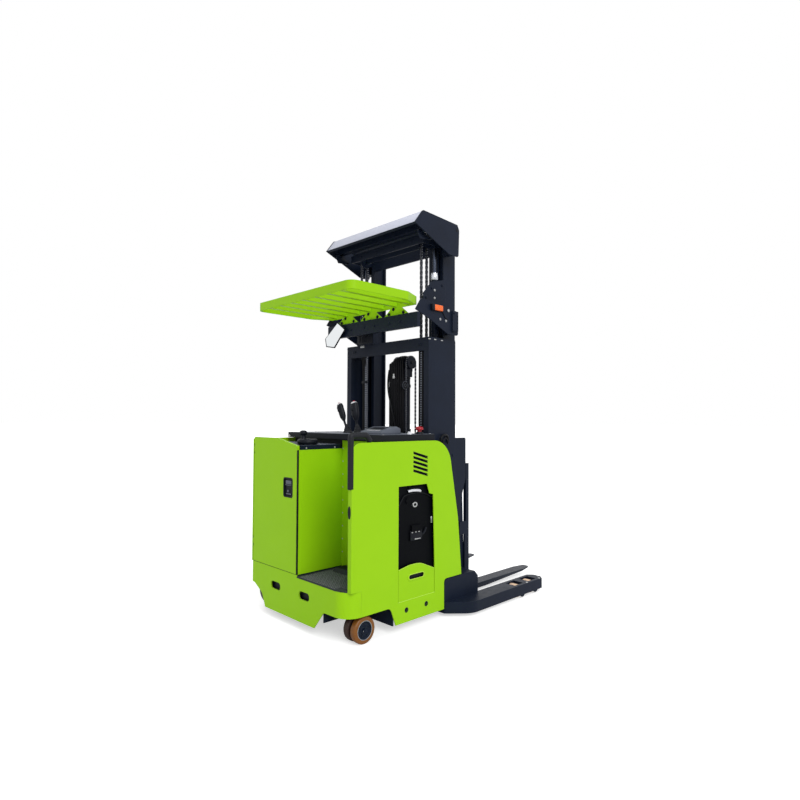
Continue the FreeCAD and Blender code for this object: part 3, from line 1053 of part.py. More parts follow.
wing = plate("xz", "-guard_plate", "guard_thick", [[
    ("rear + wing_rear", "wing_rear_z"), ("rear + wing_peak", "wing_peak_z"),
    ("rear + wing_mid", "wing_mid_z"), ("rear + wing_front", "wing_front_z"),
    ("rear + wing_front + 10", "wing_low_z"), ("rear + wing_hollow", "wing_low_z + 3"),
    ("rear + wing_throat", "wing_throat_z")]],
    rounds=[(1, "24"), (3, "20"), (4, "20"), (5, "60")])
wing_bracket = box("rear + guard_bracket_x", "-guard_plate + guard_thick - 1", "wing_low_z + 15",
                   "guard_bracket", "guard_plate - guard_thick - outer_web - seat_gap + 1",
                   "wing_front_z - wing_low_z - 40")
wing_box = box("rear + wing_box_x", "-guard_plate - wing_box_thick + weld", "wing_box_z",
               "wing_box_length", "wing_box_thick", "wing_box_height")
node("guard_beam", fuse(
    wing, mirror(wing), wing_bracket, mirror(wing_bracket), wing_box, mirror(wing_box),
    box("rear + beam_x", "-guard_plate + 1", "beam_bottom", "beam_thick",
        "2*guard_plate - 2", "beam_height")))
node("warning_lamp", box("rear + lamp_x", "-guard_plate - seat_gap - lamp_thick", "lamp_z",
                         "lamp_length", "lamp_thick", "lamp_height"))


def mirror_outline(inset):
    """Outline of the rear mirror, drawn in from its rim by inset."""
    half_y, half_z = "(mirror_half_y - %s)" % inset, "(mirror_half_z - %s)" % inset
    shares = ((-0.21, 1.0), (-0.89, 0.36), (0.12, -1.0), (0.89, -0.83), (1.0, -0.16), (0.54, 0.27))
    return [("mirror_y + %s*%s" % (share_y, half_y), "mirror_z + %s*%s" % (share_z, half_z))
            for share_y, share_z in shares]


mirror_back = "rear + mirror_x"
frame_plate = plate("yz", mirror_back, "mirror_thick", [mirror_outline("0")])
glass_seat = plate("yz", mirror_back + " - weld", "weld + 4", [mirror_outline("mirror_rim")])
mirror_stay = box(mirror_back + " + mirror_thick - weld", "mirror_y - mirror_arm/2",
                  "mirror_z - mirror_arm/2",
                  "beam_x - mirror_x - mirror_thick + weld - seat_gap", "mirror_arm",
                  "mirror_arm")
node("mirror_frame", fuse(cut(frame_plate, glass_seat), mirror_stay))
node("rear_mirror", plate("yz", mirror_back + " + seat_gap", "3",
                          [mirror_outline("(mirror_rim + seat_gap)")]))

# ---------------------------------------------------------------- write the parts
doc.recompute()
for item in doc.Objects:
    if {"Invalid", "Error"} & set(item.State):
        raise RuntimeError("failed feature: %s %s" % (item.Name, item.State))
os.makedirs("parts", exist_ok=True)
for item in NODES:
    shape = item.Shape
    if shape.isNull() or not shape.isValid() or not shape.Solids:
        raise RuntimeError("bad shape: " + item.Label)
    shape.exportStep("parts/%s.step" % item.Label)
    print(item.Label, len(shape.Solids), "%.0f" % (shape.Volume / 1000))
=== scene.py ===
"""Stand-up reach truck: studio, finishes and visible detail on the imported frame."""

import json
import logging
import math
from dataclasses import dataclass
from enum import Enum
from typing import ClassVar

import bmesh
import bpy
from mathutils import Matrix, Vector

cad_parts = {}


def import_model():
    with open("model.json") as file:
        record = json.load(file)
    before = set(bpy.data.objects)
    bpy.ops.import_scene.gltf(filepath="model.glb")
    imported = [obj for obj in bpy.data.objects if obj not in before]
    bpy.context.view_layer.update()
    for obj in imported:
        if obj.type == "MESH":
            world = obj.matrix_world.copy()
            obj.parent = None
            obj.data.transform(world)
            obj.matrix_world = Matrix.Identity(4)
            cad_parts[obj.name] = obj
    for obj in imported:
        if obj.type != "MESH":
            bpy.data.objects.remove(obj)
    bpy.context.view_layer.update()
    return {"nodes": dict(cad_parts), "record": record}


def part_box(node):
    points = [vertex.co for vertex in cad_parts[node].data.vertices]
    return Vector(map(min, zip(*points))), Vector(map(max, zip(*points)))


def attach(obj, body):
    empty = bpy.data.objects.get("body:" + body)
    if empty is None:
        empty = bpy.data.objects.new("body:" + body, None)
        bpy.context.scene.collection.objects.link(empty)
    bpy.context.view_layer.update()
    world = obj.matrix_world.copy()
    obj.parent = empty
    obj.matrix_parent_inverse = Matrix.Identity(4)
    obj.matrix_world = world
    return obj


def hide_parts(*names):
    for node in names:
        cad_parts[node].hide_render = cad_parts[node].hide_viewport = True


LOG = logging.getLogger("reach_truck")
MM = 0.001
REAR_M = 1.205
ROUND = 32
SMOOTH_DEG = 38.0
# Size of the rubbed patches, cosines where an edge starts and ends to show, the part of the
# patches that changes the roughness, and how far it does so.
PATCH_MM = 60.0
EDGE_COSINES = (0.995, 0.9)
PATCH_SPAN = (0.3, 0.7)
ROUGH_SPAN = (-0.04, 0.06)
REAR, RIGHT, UP = (-1, 0, 0), (0, -1, 0), (0, 0, 1)
WHITE = (1, 1, 1, 1)
Tree, Socket = bpy.types.NodeTree, bpy.types.NodeSocket


class Wear(Enum):
    """How a finish has aged in the warehouse."""

    CLEAN = 0.0
    HANDLED = 0.35
    SCUFFED = 0.7


class Relief(Enum):
    """Fine surface of a finish."""

    GRAIN = "grain"
    CAST = "cast"
    RIBBED = "ribbed"


@dataclass(frozen=True)
class Finish:
    """One finish of the truck.

    Args:
        name: Name of the material.
        slot: The record's material slot.
        colour: Main colour, sRGB hex.
        tint: Colour of the slow variation.
        worn: Colour where edges and rubbed spots show.
        roughness: Mean roughness.
        grain_mm: Size of the surface grain.
        grain: Depth of the grain bump, 0 to 1.
        specular: Level of the plain reflection.
        metallic: Metalness, the same all over.
        coat: Clear coat weight.
        wear: How the finish has aged.
        relief: Kind of fine surface.
        edge_mm: Radius of the softened edges.
        drift_mm: Size of the slow colour variation.
        glow: Strength of its own light.
    """

    name: str
    slot: str
    colour: str
    tint: str
    worn: str
    roughness: float
    grain_mm: float
    grain: float
    specular: float = 0.3
    metallic: float = 0.0
    coat: float = 0.0
    wear: Wear = Wear.HANDLED
    relief: Relief = Relief.GRAIN
    edge_mm: float = 1.5
    drift_mm: float = 180.0
    glow: float = 0.0


# Powder coat on sheet steel, and a paler green on beads along its edges that is painted highlight.
GREEN_PAINT = Finish("green_powder_coat", "green_paint", "#95C912", "#8EC310", "#B0E246",
                     0.42, 1.6, 0.03, 0.1, coat=0.06, edge_mm=2.5)
GREEN_HIGHLIGHT = Finish("green_paint_painted_highlight", "green_paint", "#BCE64E", "#B2DE44", "#DDF58A",
                    0.4, 1.6, 0.03, 0.12, coat=0.06, edge_mm=2.0)
# Satin enamel, nearly black with a blue cast.
BLACK_STEEL = Finish("black_enamelled_steel", "black_steel", "#131C2E", "#0D1421", "#333E52",
                     0.42, 2.2, 0.06, 0.14, wear=Wear.SCUFFED)
# Cast polyurethane treads.
TAN_PU = Finish("tan_cast_polyurethane", "pale_polyurethane", "#E9C9AC", "#D8B594", "#A88E74",
                0.5, 1.5, 0.08, wear=Wear.SCUFFED)
BROWN_PU = Finish("brown_cast_polyurethane", "brown_polyurethane", "#3B2520", "#2A1B18", "#5C4A3C",
                  0.5, 1.5, 0.1, wear=Wear.SCUFFED)
AMBER_PU = Finish("amber_cast_polyurethane", "amber_polyurethane", "#835220", "#6C4016", "#A98052",
                  0.36, 1.2, 0.05)
# Floor mat in dark grey, and its studs in a paler grey.
MAT_RUBBER = Finish("moulded_mat_rubber", "ribbed_rubber", "#34373C", "#26282C", "#6E7177",
                    0.8, 7.0, 0.5, wear=Wear.SCUFFED, relief=Relief.RIBBED)
STUD_RUBBER = Finish("pale_grey_mat_studs", "ribbed_rubber", "#7C8080", "#6A6E6E", "#A4A8A8",
                     0.6, 3.0, 0.2, wear=Wear.SCUFFED)
# Closed-cell foam, hose cover and grained or polished mouldings.
FOAM = Finish("foam_grip", "soft_grip", "#15171D", "#101218", "#353A45", 0.55, 1.2, 0.2, 0.25)
HOSE_RUBBER = Finish("oiled_hose_rubber", "black_plastic", "#0B0D13", "#07090D", "#3A3F4A",
                     0.4, 1.2, 0.08, 0.14)
BLACK_ABS = Finish("black_grained_abs", "black_plastic", "#10141D", "#0B0E15", "#3C414B",
                   0.42, 1.0, 0.14, 0.16)
GREY_ABS = Finish("grey_grained_abs", "grey_plastic", "#5B616D", "#4C515C", "#8A909C",
                  0.45, 1.0, 0.14)
PALE_ABS = Finish("pale_polished_abs", "grey_plastic", "#D9DADF", "#C6C8CF", "#F2F2F4",
                  0.25, 1.0, 0.03, coat=0.4)
RED_ABS = Finish("red_polished_abs", "red_plastic", "#A4061F", "#90051A", "#D04058",
                 0.32, 1.0, 0.03, coat=0.15)
# Grey iron, battery enamel and fork blades rubbed by pallets.
CASTING = Finish("enamelled_grey_iron", "cast_housing", "#1C1F26", "#14161C", "#454A54",
                 0.55, 4.0, 0.3, 0.2, wear=Wear.SCUFFED, relief=Relief.CAST)
BATTERY_STEEL = Finish("acid_proof_enamel", "battery_steel", "#07090D", "#050609", "#252B36",
                       0.5, 1.4, 0.1, 0.05)
FORGED_STEEL = Finish("rubbed_fork_enamel", "forged_steel", "#1A2130", "#131924", "#6B7280",
                      0.4, 3.0, 0.16, 0.2, wear=Wear.SCUFFED, relief=Relief.CAST)
# Bare and plated steel: chains, springs, pins, rods, nuts, bolts and sheet.
CHAIN_STEEL = Finish("oiled_chain_steel", "chain_steel", "#3B3E48", "#24262E", "#C2C4CA",
                     0.38, 1.5, 0.08, metallic=0.6, wear=Wear.SCUFFED)
SPRING_STEEL = Finish("oiled_spring_steel", "chain_steel", "#8A8E9A", "#6E727E", "#C2C4CA",
                      0.38, 1.5, 0.06, metallic=0.6)
PIN_STEEL = Finish("polished_chain_pins", "chain_steel", "#B9BCC4", "#A5A8B0", "#E4E6EA",
                   0.3, 1.0, 0.02, metallic=0.6)
ROD_CHROME = Finish("oil_filmed_rod_chrome", "chain_steel", "#454B58", "#343944", "#7C8493",
                    0.24, 1.0, 0.01, metallic=1.0)
CHROME = Finish("hard_chrome", "chain_steel", "#D4D7DC", "#C3C7CE", "#F0F1F3",
                0.16, 1.0, 0.01, metallic=1.0)
ZINC = Finish("zinc_plated_steel", "chain_steel", "#C8C9C8", "#A9ABAE", "#E6E6E2",
              0.34, 1.0, 0.05, metallic=0.85)
GALVANISED = Finish("galvanised_sheet", "chain_steel", "#C5C8D6", "#B4B8C8", "#E2E4EC",
                    0.42, 12.0, 0.04, metallic=0.2, drift_mm=25.0)
# Lamp lens and mirror glass.
ORANGE_LENS = Finish("orange_ribbed_lens", "orange_lens", "#F06A10", "#DC5808", "#FF9A4A",
                     0.22, 6.0, 0.3, coat=0.4, wear=Wear.CLEAN, relief=Relief.RIBBED, glow=0.15)
MIRROR_GLASS = Finish("silvered_mirror_glass", "mirror_glass", "#EEF1F2", "#E6EAEC", "#FFFFFF",
                      0.04, 1.0, 0.0, metallic=1.0, wear=Wear.CLEAN)

NODE_FINISHES = (
    GREEN_PAINT, BLACK_STEEL, TAN_PU, BROWN_PU, AMBER_PU, MAT_RUBBER, FOAM, BLACK_ABS, GREY_ABS,
    RED_ABS, CASTING, BATTERY_STEEL, FORGED_STEEL, CHAIN_STEEL, ORANGE_LENS, MIRROR_GLASS,
)


def linear(hex_colour: str) -> tuple:
    """Returns the linear RGBA of an sRGB colour.

    Args:
        hex_colour: Colour in the form #RRGGBB.

    Returns:
        Four numbers from 0 to 1.
    """
    parts = [int(hex_colour[i : i + 2], 16) / 255 for i in (1, 3, 5)]
    lin = [c / 12.92 if c <= 0.04045 else ((c + 0.055) / 1.055) ** 2.4 for c in parts]
    return (*lin, 1.0)


def fresh_tree(owner: bpy.types.ID) -> Tree:
    """Empties a node tree.

    Args:
        owner: Material or world that has it.

    Returns:
        The tree.
    """
    owner.use_nodes = True
    owner.node_tree.nodes.clear()
    return owner.node_tree


def add_node(tree: Tree, kind: str, output: str = "", links: dict = None,
             **settings: object) -> Socket:
    """Adds one shader node.

    Args:
        tree: Node tree that gets the node.
        kind: Node type without the ShaderNode prefix.
        output: Name of the output that is wanted.
        links: Input name or index to a value or to an output socket.
        settings: Attributes of the node.

    Returns:
        The wanted output, or the node where none is named.
    """
    node = tree.nodes.new("ShaderNode" + kind)
    for key, value in settings.items():
        setattr(node, key, value)
    for key, value in (links or {}).items():
        if isinstance(value, Socket):
            tree.links.new(value, node.inputs[key])
        else:
            node.inputs[key].default_value = value
    return node.outputs[output] if output else node


def noise(tree: Tree, place: Socket, size_mm: float, detail: float) -> Socket:
    """Returns the value of a noise pattern of a given size on Object coordinates."""
    return add_node(tree, "TexNoise", "Fac", {
        "Vector": place, "Scale": 1000.0 / size_mm, "Detail": detail, "Roughness": 0.6})


def relief_height(tree: Tree, place: Socket, finish: Finish) -> Socket:
    """Adds the fine surface of a finish.

    Args:
        tree: Node tree of the material.
        place: Object coordinates.
        finish: Kind and size of the relief.

    Returns:
        The output that holds its height.
    """
    if finish.relief is Relief.CAST:
        return add_node(tree, "TexVoronoi", "Distance", {
            "Vector": place, "Scale": 1000.0 / finish.grain_mm}, feature="SMOOTH_F1")
    if finish.relief is Relief.RIBBED:
        return add_node(tree, "TexWave", "Fac", {
            "Vector": place, "Scale": 300.0 / finish.grain_mm, "Distortion": 0.2},
            bands_direction="DIAGONAL")
    return noise(tree, place, finish.grain_mm, 3.0)


def finish_material(finish: Finish) -> bpy.types.Material:
    """Returns the procedural material of a finish, made once.

    Args:
        finish: Colours, roughness, grain and wear.

    Returns:
        The material.
    """
    if finish.name in bpy.data.materials:
        return bpy.data.materials[finish.name]
    material = bpy.data.materials.new(finish.name)
    tree = fresh_tree(material)
    out = add_node(tree, "OutputMaterial")
    place = add_node(tree, "TexCoord", "Object")
    drift = noise(tree, place, finish.drift_mm, 4.0)
    tint = add_node(tree, "MixRGB", "Color", {
        "Fac": drift, "Color1": linear(finish.colour), "Color2": linear(finish.tint)})
    soft = add_node(tree, "Bevel", "Normal", {"Radius": finish.edge_mm * MM}, samples=4)
    flat = add_node(tree, "NewGeometry", "Normal")
    meet = add_node(tree, "VectorMath", "Value", {0: soft, 1: flat}, operation="DOT_PRODUCT")
    edge = add_node(tree, "MapRange", "Result", {
        "Value": meet, "From Min": EDGE_COSINES[0], "From Max": EDGE_COSINES[1],
        "To Min": 0.0, "To Max": finish.wear.value})
    patch = noise(tree, place, PATCH_MM, 6.0)
    rubbed = add_node(tree, "Math", "Value", {0: edge, 1: patch}, operation="MULTIPLY")
    colour = add_node(tree, "MixRGB", "Color", {
        "Fac": rubbed, "Color1": tint, "Color2": linear(finish.worn)})
    rough = add_node(tree, "MapRange", "Result", {
        "Value": patch, "From Min": PATCH_SPAN[0], "From Max": PATCH_SPAN[1],
        "To Min": finish.roughness + ROUGH_SPAN[0], "To Max": finish.roughness + ROUGH_SPAN[1]})
    bump = add_node(tree, "Bump", "Normal", {
        "Strength": min(1.0, finish.grain * 4), "Distance": finish.grain_mm * MM * 0.25,
        "Height": relief_height(tree, place, finish), "Normal": soft})
    shader = add_node(tree, "BsdfPrincipled", "", {
        "Base Color": colour, "Roughness": rough, "Metallic": finish.metallic,
        "Specular IOR Level": finish.specular, "Coat Weight": finish.coat, "Normal": bump})
    if finish.glow:
        tree.links.new(colour, shader.inputs["Emission Color"])
        shader.inputs["Emission Strength"].default_value = finish.glow
    tree.links.new(shader.outputs["BSDF"], out.inputs["Surface"])
    return material


@dataclass(frozen=True)
class Extent:
    """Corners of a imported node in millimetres, x from the truck's rear face."""

    x0: float
    y0: float
    z0: float
    x1: float
    y1: float
    z1: float

    def centre(self) -> tuple:
        """Returns its middle."""
        return (self.x0 + self.x1) / 2, (self.y0 + self.y1) / 2, (self.z0 + self.z1) / 2


def cad(node: str) -> Extent:
    """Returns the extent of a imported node."""
    return Extent(*((c + shift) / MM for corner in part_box(node)
                    for c, shift in zip(corner, (REAR_M, 0.0, 0.0))))


def rounded(centre: tuple, normal: str, width: float, height: float, radius: float) -> list:
    """Returns the points of an upright rounded rectangle, counter-clockwise.

    Args:
        centre: Its middle.
        normal: Axis that it faces, X or Y.
        width: Full width.
        height: Full height.
        radius: Corner radius.

    Returns:
        Seven points for each corner.
    """
    x, y, z = centre
    points = []
    for corner, (su, sv) in enumerate(((1, 1), (-1, 1), (-1, -1), (1, -1))):
        for step in range(7):
            angle = math.radians(90.0 * corner + 15.0 * step)
            u = su * (width / 2 - radius) + radius * math.cos(angle)
            v = sv * (height / 2 - radius) + radius * math.sin(angle)
            points.append((x, y + u, z + v) if normal == "X" else (x + u, y, z + v))
    return points


def spaced(count: int, centre: tuple, radius: float, start: float = 0.0) -> list:
    """Returns points at even steps on a circle, as pairs.

    Args:
        count: Number of points.
        centre: Pair of coordinates of the circle's middle.
        radius: Radius of the circle.
        start: Angle of the first point in degrees.

    Returns:
        The pairs, counter-clockwise.
    """
    angles = (math.radians(start + 360 * number / count) for number in range(count))
    return [(centre[0] + radius * math.cos(a), centre[1] + radius * math.sin(a)) for a in angles]


def both(half: float, *rows: tuple) -> list:
    """Returns a profile that is the same on both sides of its middle.

    Args:
        half: Half of its width.
        rows: Pairs of radius and distance in from the side, the same for each side.

    Returns:
        Pairs of radius and distance from the middle.
    """
    near = [(radius, depth - half) for radius, depth in rows]
    return near + [(radius, -along) for radius, along in reversed(near) if along]


class Stock:
    """A mesh while it is shaped, in millimetres, x from the truck's rear face.

    Each shaping method returns the stock; block and turned, and washer through turned, also keep
    the vertices they added in the field added.
    """

    def __init__(self) -> None:
        """Starts with no material on the bench."""
        self.mesh = bmesh.new()
        self.added = []

    def bevel(self, edges: set, width: float, segments: int = 2) -> None:
        """Rounds the given edges.

        Args:
            edges: Edges that are rounded.
            width: Radius of the rounding.
            segments: Runs of each rounded edge.
        """
        bmesh.ops.bevel(
            self.mesh, geom=list(edges), offset=width, offset_type="OFFSET", segments=segments,
            profile=0.5, affect="EDGES", material=-1, clamp_overlap=True,
        )

    def turn(self, verts: list, degrees: float, axis: str, centre: tuple) -> None:
        """Turns some vertices about a point."""
        turn = Matrix.Rotation(math.radians(degrees), 3, axis)
        bmesh.ops.rotate(self.mesh, verts=verts, cent=centre, matrix=turn)

    def stretch(self, verts: list, scale: tuple, centre: tuple) -> None:
        """Scales some vertices about a point."""
        space = Matrix.Translation(-Vector(centre))
        bmesh.ops.scale(self.mesh, vec=scale, verts=verts, space=space)

    def shift(self, verts: list, way: Vector) -> None:
        """Moves some vertices."""
        bmesh.ops.translate(self.mesh, vec=way, verts=verts)

    def block(self, low: tuple, high: tuple, round_off: float = 0.0, segments: int = 2) -> "Stock":
        """Adds a block.

        Args:
            low: Low corner.
            high: High corner.
            round_off: Radius of its edges.
            segments: Runs of each rounded edge.

        Returns:
            The stock.
        """
        low, high = Vector(low), Vector(high)
        self.added = bmesh.ops.create_cube(self.mesh, size=1.0)["verts"]
        bmesh.ops.scale(self.mesh, vec=high - low, verts=self.added)
        self.shift(self.added, (low + high) / 2)
        if round_off:
            edges = {edge for vert in self.added for edge in vert.link_edges}
            self.bevel(edges, round_off, segments)
        return self

    def rod(self, start: tuple, end: tuple, radius: float, tip: float = None,
            sides: int = ROUND, round_off: float = 0.0) -> "Stock":
        """Adds a round bar between two points.

        Args:
            start: Centre of its first end.
            end: Centre of its other end.
            radius: Radius at the first end.
            tip: Radius at the other end, the same if left out.
            sides: Flats round it.
            round_off: Radius of its two rims.

        Returns:
            The stock.
        """
        start, end = Vector(start), Vector(end)
        way = end - start
        turn = way.to_track_quat("Z", "Y").to_matrix().to_4x4()
        verts = bmesh.ops.create_cone(
            self.mesh, cap_ends=True, cap_tris=False, segments=sides, radius1=radius,
            radius2=radius if tip is None else tip, depth=way.length,
            matrix=Matrix.Translation((start + end) / 2) @ turn,
        )["verts"]
        if round_off:
            rims = {edge for vert in verts for edge in vert.link_edges
                    if any(len(face.verts) > 4 for face in edge.link_faces)}
            self.bevel(rims, round_off)
        return self

    def turned(self, profile: list, centre: tuple, axis: str = "Z", sides: int = ROUND,
               closed: bool = False) -> "Stock":
        """Adds a solid of revolution.

        Args:
            profile: Pairs of radius and distance along the axis.
            centre: Point on the axis where that distance is nought.
            axis: X, Y or Z.
            sides: Runs round the axis.
            closed: Whether the profile is a closed loop.

        Returns:
            The stock.
        """
        before = set(self.mesh.verts)
        dots = [self.mesh.verts.new((radius, 0.0, along)) for radius, along in profile]
        pairs = list(zip(dots, dots[1:])) + ([(dots[-1], dots[0])] if closed else [])
        lines = [self.mesh.edges.new(pair) for pair in pairs]
        bmesh.ops.spin(
            self.mesh, geom=dots + lines, cent=(0, 0, 0), axis=UP, dvec=(0, 0, 0),
            angle=2 * math.pi, steps=sides, use_merge=True, use_duplicate=False,
        )
        self.added = [vert for vert in self.mesh.verts if vert not in before]
        if axis != "Z":
            degrees, about = {"X": (90, "Y"), "Y": (-90, "X")}[axis]
            self.turn(self.added, degrees, about, (0, 0, 0))
        self.shift(self.added, Vector(centre))
        return self

    def washer(self, inner: float, outer: float, thick: float, centre: tuple, axis: str = "Y",
               sides: int = ROUND) -> "Stock":
        """Adds a flat ring.

        Args:
            inner: Radius of its hole.
            outer: Radius of its rim.
            thick: Thickness.
            centre: Its middle.
            axis: X, Y or Z.
            sides: Runs round the axis.

        Returns:
            The stock.
        """
        half = thick / 2
        profile = [(inner, -half), (outer, -half), (outer, half), (inner, half)]
        return self.turned(profile, centre, axis, sides, closed=True)

    def plate(self, outline: list, depth: tuple, round_off: float = 0.0,
              rim: float = 0.0) -> "Stock":
        """Adds a flat plate, or with a rim only its border.

        Args:
            outline: Points of one face.
            depth: Vector from that face to the other.
            round_off: Radius of its edges.
            rim: Width of the border that stays, nought for a full plate.

        Returns:
            The stock.
        """
        before = set(self.mesh.verts)
        face = self.mesh.faces.new([self.mesh.verts.new(point) for point in outline])
        faces = [face]
        face.normal_update()
        if rim:
            bmesh.ops.inset_region(
                self.mesh, faces=faces, thickness=rim, use_even_offset=True, use_boundary=True,
            )
            faces = [side for side in self.mesh.faces
                     if side is not face and any(v not in before for v in side.verts)]
            bmesh.ops.delete(self.mesh, geom=[face], context="FACES_ONLY")
        grown = bmesh.ops.extrude_face_region(self.mesh, geom=faces, use_keep_orig=True)
        moved = [item for item in grown["geom"] if isinstance(item, bmesh.types.BMVert)]
        self.shift(moved, Vector(depth))
        if round_off:
            edges = {edge for vert in self.mesh.verts if vert not in before
                     for edge in vert.link_edges
                     if edge.is_manifold and edge.calc_face_angle(0.0) > math.radians(40)}
            self.bevel(edges, round_off)
        return self

    def slab(self, low: Vector, high: Vector, y0: float, y1: float, depth: Vector,
             round_off: float) -> "Stock":
        """Adds a thin slab that lies on a slope.

        Args:
            low: Foot of the slope, at y nought.
            high: Head of the slope, at y nought.
            y0: Low side of the slab.
            y1: High side of the slab.
            depth: Vector through its thickness.
            round_off: Radius of its edges.

        Returns:
            The stock.
        """
        corners = ((low, y0), (high, y0), (high, y1), (low, y1))
        return self.plate([(spot.x, y, spot.z) for spot, y in corners], depth, round_off)

    def tube(self, points: list, radius: float, order: int = 3, sides: int = 2,
             closed: bool = False) -> "Stock":
        """Adds a round tube that follows a smooth line.

        Args:
            points: Points that lead the line.
            radius: Radius of the tube.
            order: Smoothness, 2 for straight runs.
            sides: Bevel resolution.
            closed: Whether the line closes on itself.

        Returns:
            The stock.
        """
        line = bpy.data.curves.new("route", "CURVE")
        line.dimensions, line.bevel_depth, line.bevel_resolution = "3D", radius, sides
        line.use_fill_caps = True
        run = line.splines.new("NURBS")
        run.points.add(len(points) - 1)
        for dot, point in zip(run.points, points):
            dot.co = (*point, 1.0)
        run.order_u, run.resolution_u = order, 6
        run.use_endpoint_u, run.use_cyclic_u = not closed, closed
        rig = bpy.data.objects.new("route", line)
        self.mesh.from_mesh(bpy.data.meshes.new_from_object(rig))
        bpy.data.objects.remove(rig)
        bpy.data.curves.remove(line)
        return self

    def bolt(self, seat: tuple, way: tuple, radius: float, height: float) -> "Stock":
        """Adds a hexagon bolt head on its washer.

        Args:
            seat: Centre of the washer's foot.
            way: Direction in which the head stands out.
            radius: Radius over the head's corners.
            height: Height of head and washer.

        Returns:
            The stock.
        """
        seat, rise = Vector(seat), Vector(way).normalized() * height
        self.rod(seat, seat + rise * 0.3, radius * 1.35, sides=20)
        return self.rod(seat + rise * 0.28, seat + rise, radius, radius * 0.94, 6, radius * 0.06)

    def mirrored(self) -> "Stock":
        """Adds the mirror image on the truck's other side.

        Returns:
            The stock.
        """
        geom = [*self.mesh.verts, *self.mesh.edges, *self.mesh.faces]
        copy = bmesh.ops.duplicate(self.mesh, geom=geom)["geom"]
        verts = [item for item in copy if isinstance(item, bmesh.types.BMVert)]
        bmesh.ops.scale(self.mesh, vec=(1, -1, 1), verts=verts)
        return self


@dataclass
class Assembly:
    """Base of the sub-assemblies: turns shaped stock into dressed pieces."""

    body: str = "truck"
    STEPS: ClassVar[tuple] = ()

    def build(self) -> None:
        """Runs the sub-assembly's steps in order."""
        for step in self.STEPS:
            step(self)

    def piece(self, name: str, stock: Stock, finish: Finish, body: str = "",
              stands_for: tuple = ()) -> None:
        """Finishes one piece.

        Args:
            name: Plain name of the piece.
            stock: Shaped mesh, used up here.
            finish: Finish of the whole piece.
            body: Body that carries it, the sub-assembly's own if left out.
            stands_for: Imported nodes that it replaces.
        """
        work = stock.mesh
        bmesh.ops.remove_doubles(work, verts=work.verts, dist=0.001)
        loose = [vert for vert in work.verts if not vert.link_faces]
        bmesh.ops.delete(work, geom=loose, context="VERTS")
        bmesh.ops.recalc_face_normals(work, faces=work.faces)
        bmesh.ops.scale(work, vec=(MM, MM, MM), verts=work.verts)
        bmesh.ops.translate(work, vec=(-REAR_M, 0, 0), verts=work.verts)
        mesh = bpy.data.meshes.new(name)
        work.to_mesh(mesh)
        work.free()
        for face in mesh.polygons:
            face.use_smooth = True
        mesh.set_sharp_from_angle(angle=math.radians(SMOOTH_DEG))
        mesh.materials.append(finish_material(finish))
        made = bpy.data.objects.new(name, mesh)
        bpy.context.scene.collection.objects.link(made)
        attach(made, body or self.body)
        if stands_for:
            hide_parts(*stands_for)
        LOG.info("%s rides on %s, %d faces", name, body or self.body, len(mesh.polygons))

    def pieces(self, *rows: tuple, body: str = "", mirror: bool = False) -> None:
        """Finishes several pieces of one body.

        Args:
            rows: Name, stock and finish of each.
            body: Body that carries them, the sub-assembly's own if left out.
            mirror: Whether each gets its mirror image too.
        """
        for name, stock, finish in rows:
            self.piece(name, stock.mirrored() if mirror else stock, finish, body)


